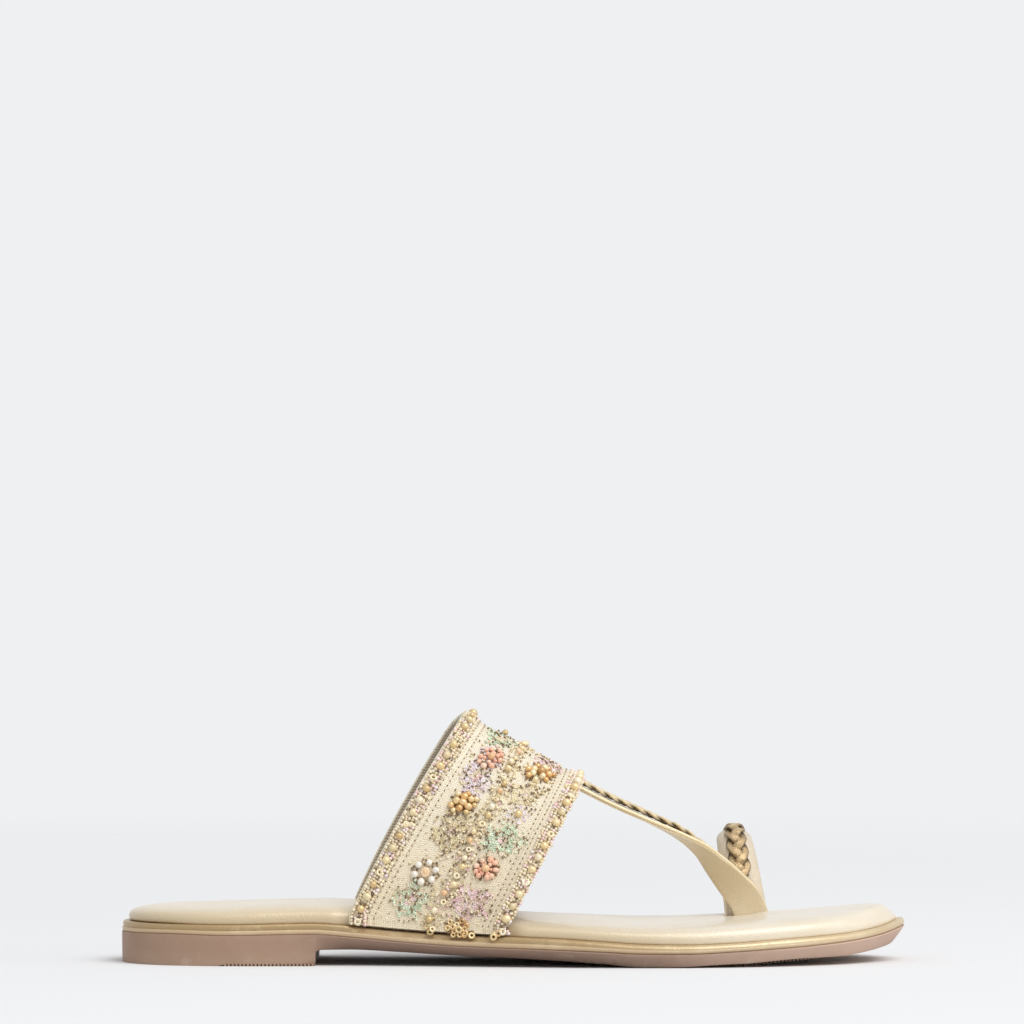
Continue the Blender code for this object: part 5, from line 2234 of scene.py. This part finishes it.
@dataclass
class Plait:
    """A flat plait of three leather laces laid along a strip's face."""

    name: str
    node: str
    sections: list[Section]
    period: float
    swing: float
    lace_thickness: float
    # Painted shade: how dark the strands are where they go under another, and at their edges.
    hollow_shade: float  # how dark the strands are where they dip
    outline: float  # how dark their edges are
    lace: float = 3.1
    lift: float = 0.5
    taper: float = 3.0
    fade: float = 0.0  # length over which the far end sinks into the strip
    dome: float = 0.0  # how far the plait's sides bend down below its middle
    finish: Finish = PLAIT_LEATHER
    step: float = 0.35
    facets: int = 10
    squareness: float = 0.8

    def build(self) -> None:
        """Sweeps the three laces, marks their painted shade, and joins them."""
        rows = [(section.centre, section.normal, section.side) for section in self.sections]
        tracks = [np.array(track) for track in zip(*rows)]
        run = np.cumsum(np.linalg.norm(np.diff(tracks[0], axis=0, prepend=tracks[0][:1]), axis=1))
        at = np.linspace(0.0, run[-1], int(run[-1] / self.step))
        centre, normal, side = (
            np.stack([np.interp(at, run, track[:, k]) for k in range(3)], axis=1) for track in tracks
        )
        ease = smooth_step(np.minimum(at, run[-1] - at) / self.taper)
        stand = smooth_step((run[-1] - at) / self.fade) if self.fade else np.ones(len(at))
        angles = np.arange(self.facets) / self.facets * 2 * math.pi
        broad_at, thick_at = (
            np.sign(wave) * np.abs(wave) ** self.squareness * size / 2
            for wave, size in ((np.cos(angles), self.lace), (np.sin(angles), self.lace_thickness))
        )
        edge = np.abs(np.cos(angles)) ** 4
        laces, dips = [], []
        for strand in range(3):
            phase = 2 * math.pi * (at / self.period + strand / 3)
            across = self.swing * np.sin(phase) * (0.55 + 0.45 * ease)
            up = self.lift + self.lace_thickness / 2 + self.lift * np.sin(2 * phase)
            up -= (1 - stand) * (self.lace_thickness + self.lift) + self.dome * (across / self.swing) ** 2
            path = centre + side * across[:, None] + normal * up[:, None]
            travel = unit(np.gradient(path, axis=0))
            broad = unit(np.cross(travel, normal))
            thick = np.cross(broad, travel)
            rows = path[:, None, :] + broad[:, None, :] * broad_at[None, :, None]
            laces.append(loft(rows + thick[:, None, :] * thick_at[None, :, None]))
            # painted shade: darker where a strand goes under another, and at each lace's edges
            low = (0.5 - 0.5 * np.sin(2 * phase)) ** 4
            dip_shade = low[:, None] * self.hollow_shade + edge[None, :] * self.outline
            dips.append(np.clip(dip_shade, 0.0, 1.0).reshape(-1))
        made = build_mesh(self.name, joined(laces))
        mark(made, "dip_shade", np.concatenate(dips))
        finish_piece(made, self.finish, self.node)


@dataclass
class ToePost:
    """The centre strap, the ring for the big toe, and the plait on each."""

    # Where on the middle line each starts and ends, by its length, and how many sections it has.
    strap_span: tuple[float, float, int] = (0.0, 0.985, 90)
    ring_span: tuple[float, float, int] = (0.012, 0.988, 96)
    strap_plait: tuple[float, float, int] = (0.15, 0.69, 80)
    ring_plait: tuple[float, float, int] = (0.20, 0.93, 90)
    strap_lift: float = 0.3  # half of what the strap's leather is thinner than its form
    ring_bow: float = 2.5

    def build(self) -> None:
        """Builds both strips and both plaits."""
        strap, ring = StrapForm(), RingForm()
        rise = self.strap_lift
        along = [strap.section(share).raised(rise) for share in np.linspace(*self.strap_span)]
        Strip("centre_strap", along, strap.THICKNESS - 2 * rise).build("upper")
        along = [ring.section(share) for share in np.linspace(*self.ring_span)]
        Strip("toe_ring", along, ring.THICKNESS, RING_LEATHER, bow=self.ring_bow).build("upper")
        rise = strap.THICKNESS / 2 + 0.1
        along = [strap.section(share).raised(rise) for share in np.linspace(*self.strap_plait)]
        Plait("strap_plait", "strap_braid", along, period=14.3, swing=2.0, lace_thickness=1.0, hollow_shade=0.9,
              outline=0.1, taper=6.0, fade=16.0, finish=STRAP_PLAIT_LEATHER).build()
        rise = ring.THICKNESS / 2 - 0.05
        along = [ring.section(share).raised(rise) for share in np.linspace(*self.ring_plait)]
        Plait("ring_plait", "loop_braid", along, period=14.8, swing=1.95, lace_thickness=1.2, hollow_shade=1.0,
              outline=0.7, dome=1.3).build()


# ------------------------ studio


@dataclass
class Studio:
    """Camera, pale floor and soft light."""

    camera_place: tuple[float, float, float] = (-0.00055, -2.48, 0.1432)
    lens: float = 273.07
    backdrop: Colour = (239, 240, 242)
    daylight: Colour = (244, 246, 250)
    floor_colour: Colour = (241, 241, 241)
    floor_radius: float = 1.4
    floor_up: float = -0.00002
    fade: tuple[float, float] = (0.36, 1.2)
    surround: float = 0.55

    def build(self) -> None:
        """Builds all of it."""
        self.build_camera()
        self.build_world()
        self.build_floor()
        self.build_light("key", (2.55, -3.2, 5.2), (0.0, 0.0, 0.0), 5.0, 316.0)
        self.build_light("low_fill", (1.9, -0.5, 0.42), (0.1, 0.0, 0.0), 0.8, 3.6)
        bpy.context.scene.view_settings.view_transform = "Standard"

    def build_camera(self) -> None:
        """A long lens at the height of a low table, level with the floor."""
        data = bpy.data.cameras.new("camera")
        data.lens = self.lens
        data.sensor_width = 36.0
        data.clip_end = 30.0
        camera = linked("camera", data)
        camera.location = self.camera_place
        camera.rotation_euler = (math.pi / 2, 0.0, 0.0)
        bpy.context.scene.camera = camera

    def build_world(self) -> None:
        """An even pale surround, a little dimmer as light than as backdrop."""
        world = bpy.data.worlds.new("studio")
        world.use_nodes = True
        bpy.context.scene.world = world
        bench = Bench(world.node_tree)
        world.node_tree.nodes.clear()
        seen = bench.node("Background", {"Color": self.backdrop, "Strength": 1.0})
        light = bench.node("Background", {"Color": self.daylight, "Strength": self.surround})
        path = bench.node("LightPath").outputs
        mirrored = bench.maths("MAXIMUM", path["Is Camera Ray"], path["Is Glossy Ray"])
        mix = bench.node("MixShader", {0: mirrored, 1: light.outputs[0], 2: seen.outputs[0]})
        bench.node("OutputWorld", {"Surface": mix.outputs[0]})

    def build_floor(self) -> None:
        """A round pale floor that fades into the backdrop at its edge."""
        data = bpy.data.meshes.new("floor")
        work = bmesh.new()
        bmesh.ops.create_circle(work, cap_ends=True, radius=self.floor_radius, segments=96)
        work.to_mesh(data)
        work.free()
        floor = linked("floor", data)
        floor.location = (0.0, 0.0, self.floor_up)
        material = bpy.data.materials.new("floor")
        material.use_nodes = True
        bench = Bench(material.node_tree)
        material.node_tree.nodes.clear()
        away = bench.node("VectorMath", {0: bench.place()}, operation="LENGTH").outputs["Value"]
        matt = {"Base Color": self.floor_colour, "Roughness": 0.9, "Specular IOR Level": 0.1}
        shaders = (bench.node("BsdfPrincipled", matt), bench.node("BsdfTransparent"))
        fade = bench.spread(away, *self.fade)
        mix = bench.node("MixShader", {0: fade, 1: shaders[0].outputs[0], 2: shaders[1].outputs[0]})
        bench.node("OutputMaterial", {"Surface": mix.outputs[0]})
        data.materials.append(material)

    def build_light(self, name: str, place: Sequence[float], aim: Sequence[float], size: float,
                    power: float) -> None:
        """One square soft light.

        Args:
            name: The light's name.
            place: Where it hangs.
            aim: The point that it faces.
            size: Its side.
            power: Its power in watts.
        """
        data = bpy.data.lights.new(name, "AREA")
        data.shape = "SQUARE"
        data.size = size
        data.energy = power
        light = linked(name, data)
        light.location = place
        way = np.array(aim) - np.array(place)
        yaw = math.atan2(way[1], way[0]) - math.pi / 2
        pitch = math.atan2(way[2], math.hypot(way[0], way[1])) + math.pi / 2
        light.rotation_euler = (pitch, 0.0, yaw)


def main() -> None:
    """Builds the studio and the sandal, piece by piece."""
    logging.basicConfig(level=logging.INFO, format="%(message)s")
    for made in (Studio(), SoleUnit(), WrappedRim(), PaddedFootbed(), BeadedVamp(), ToePost()):
        made.build()


if __name__ == "__main__":
    main()
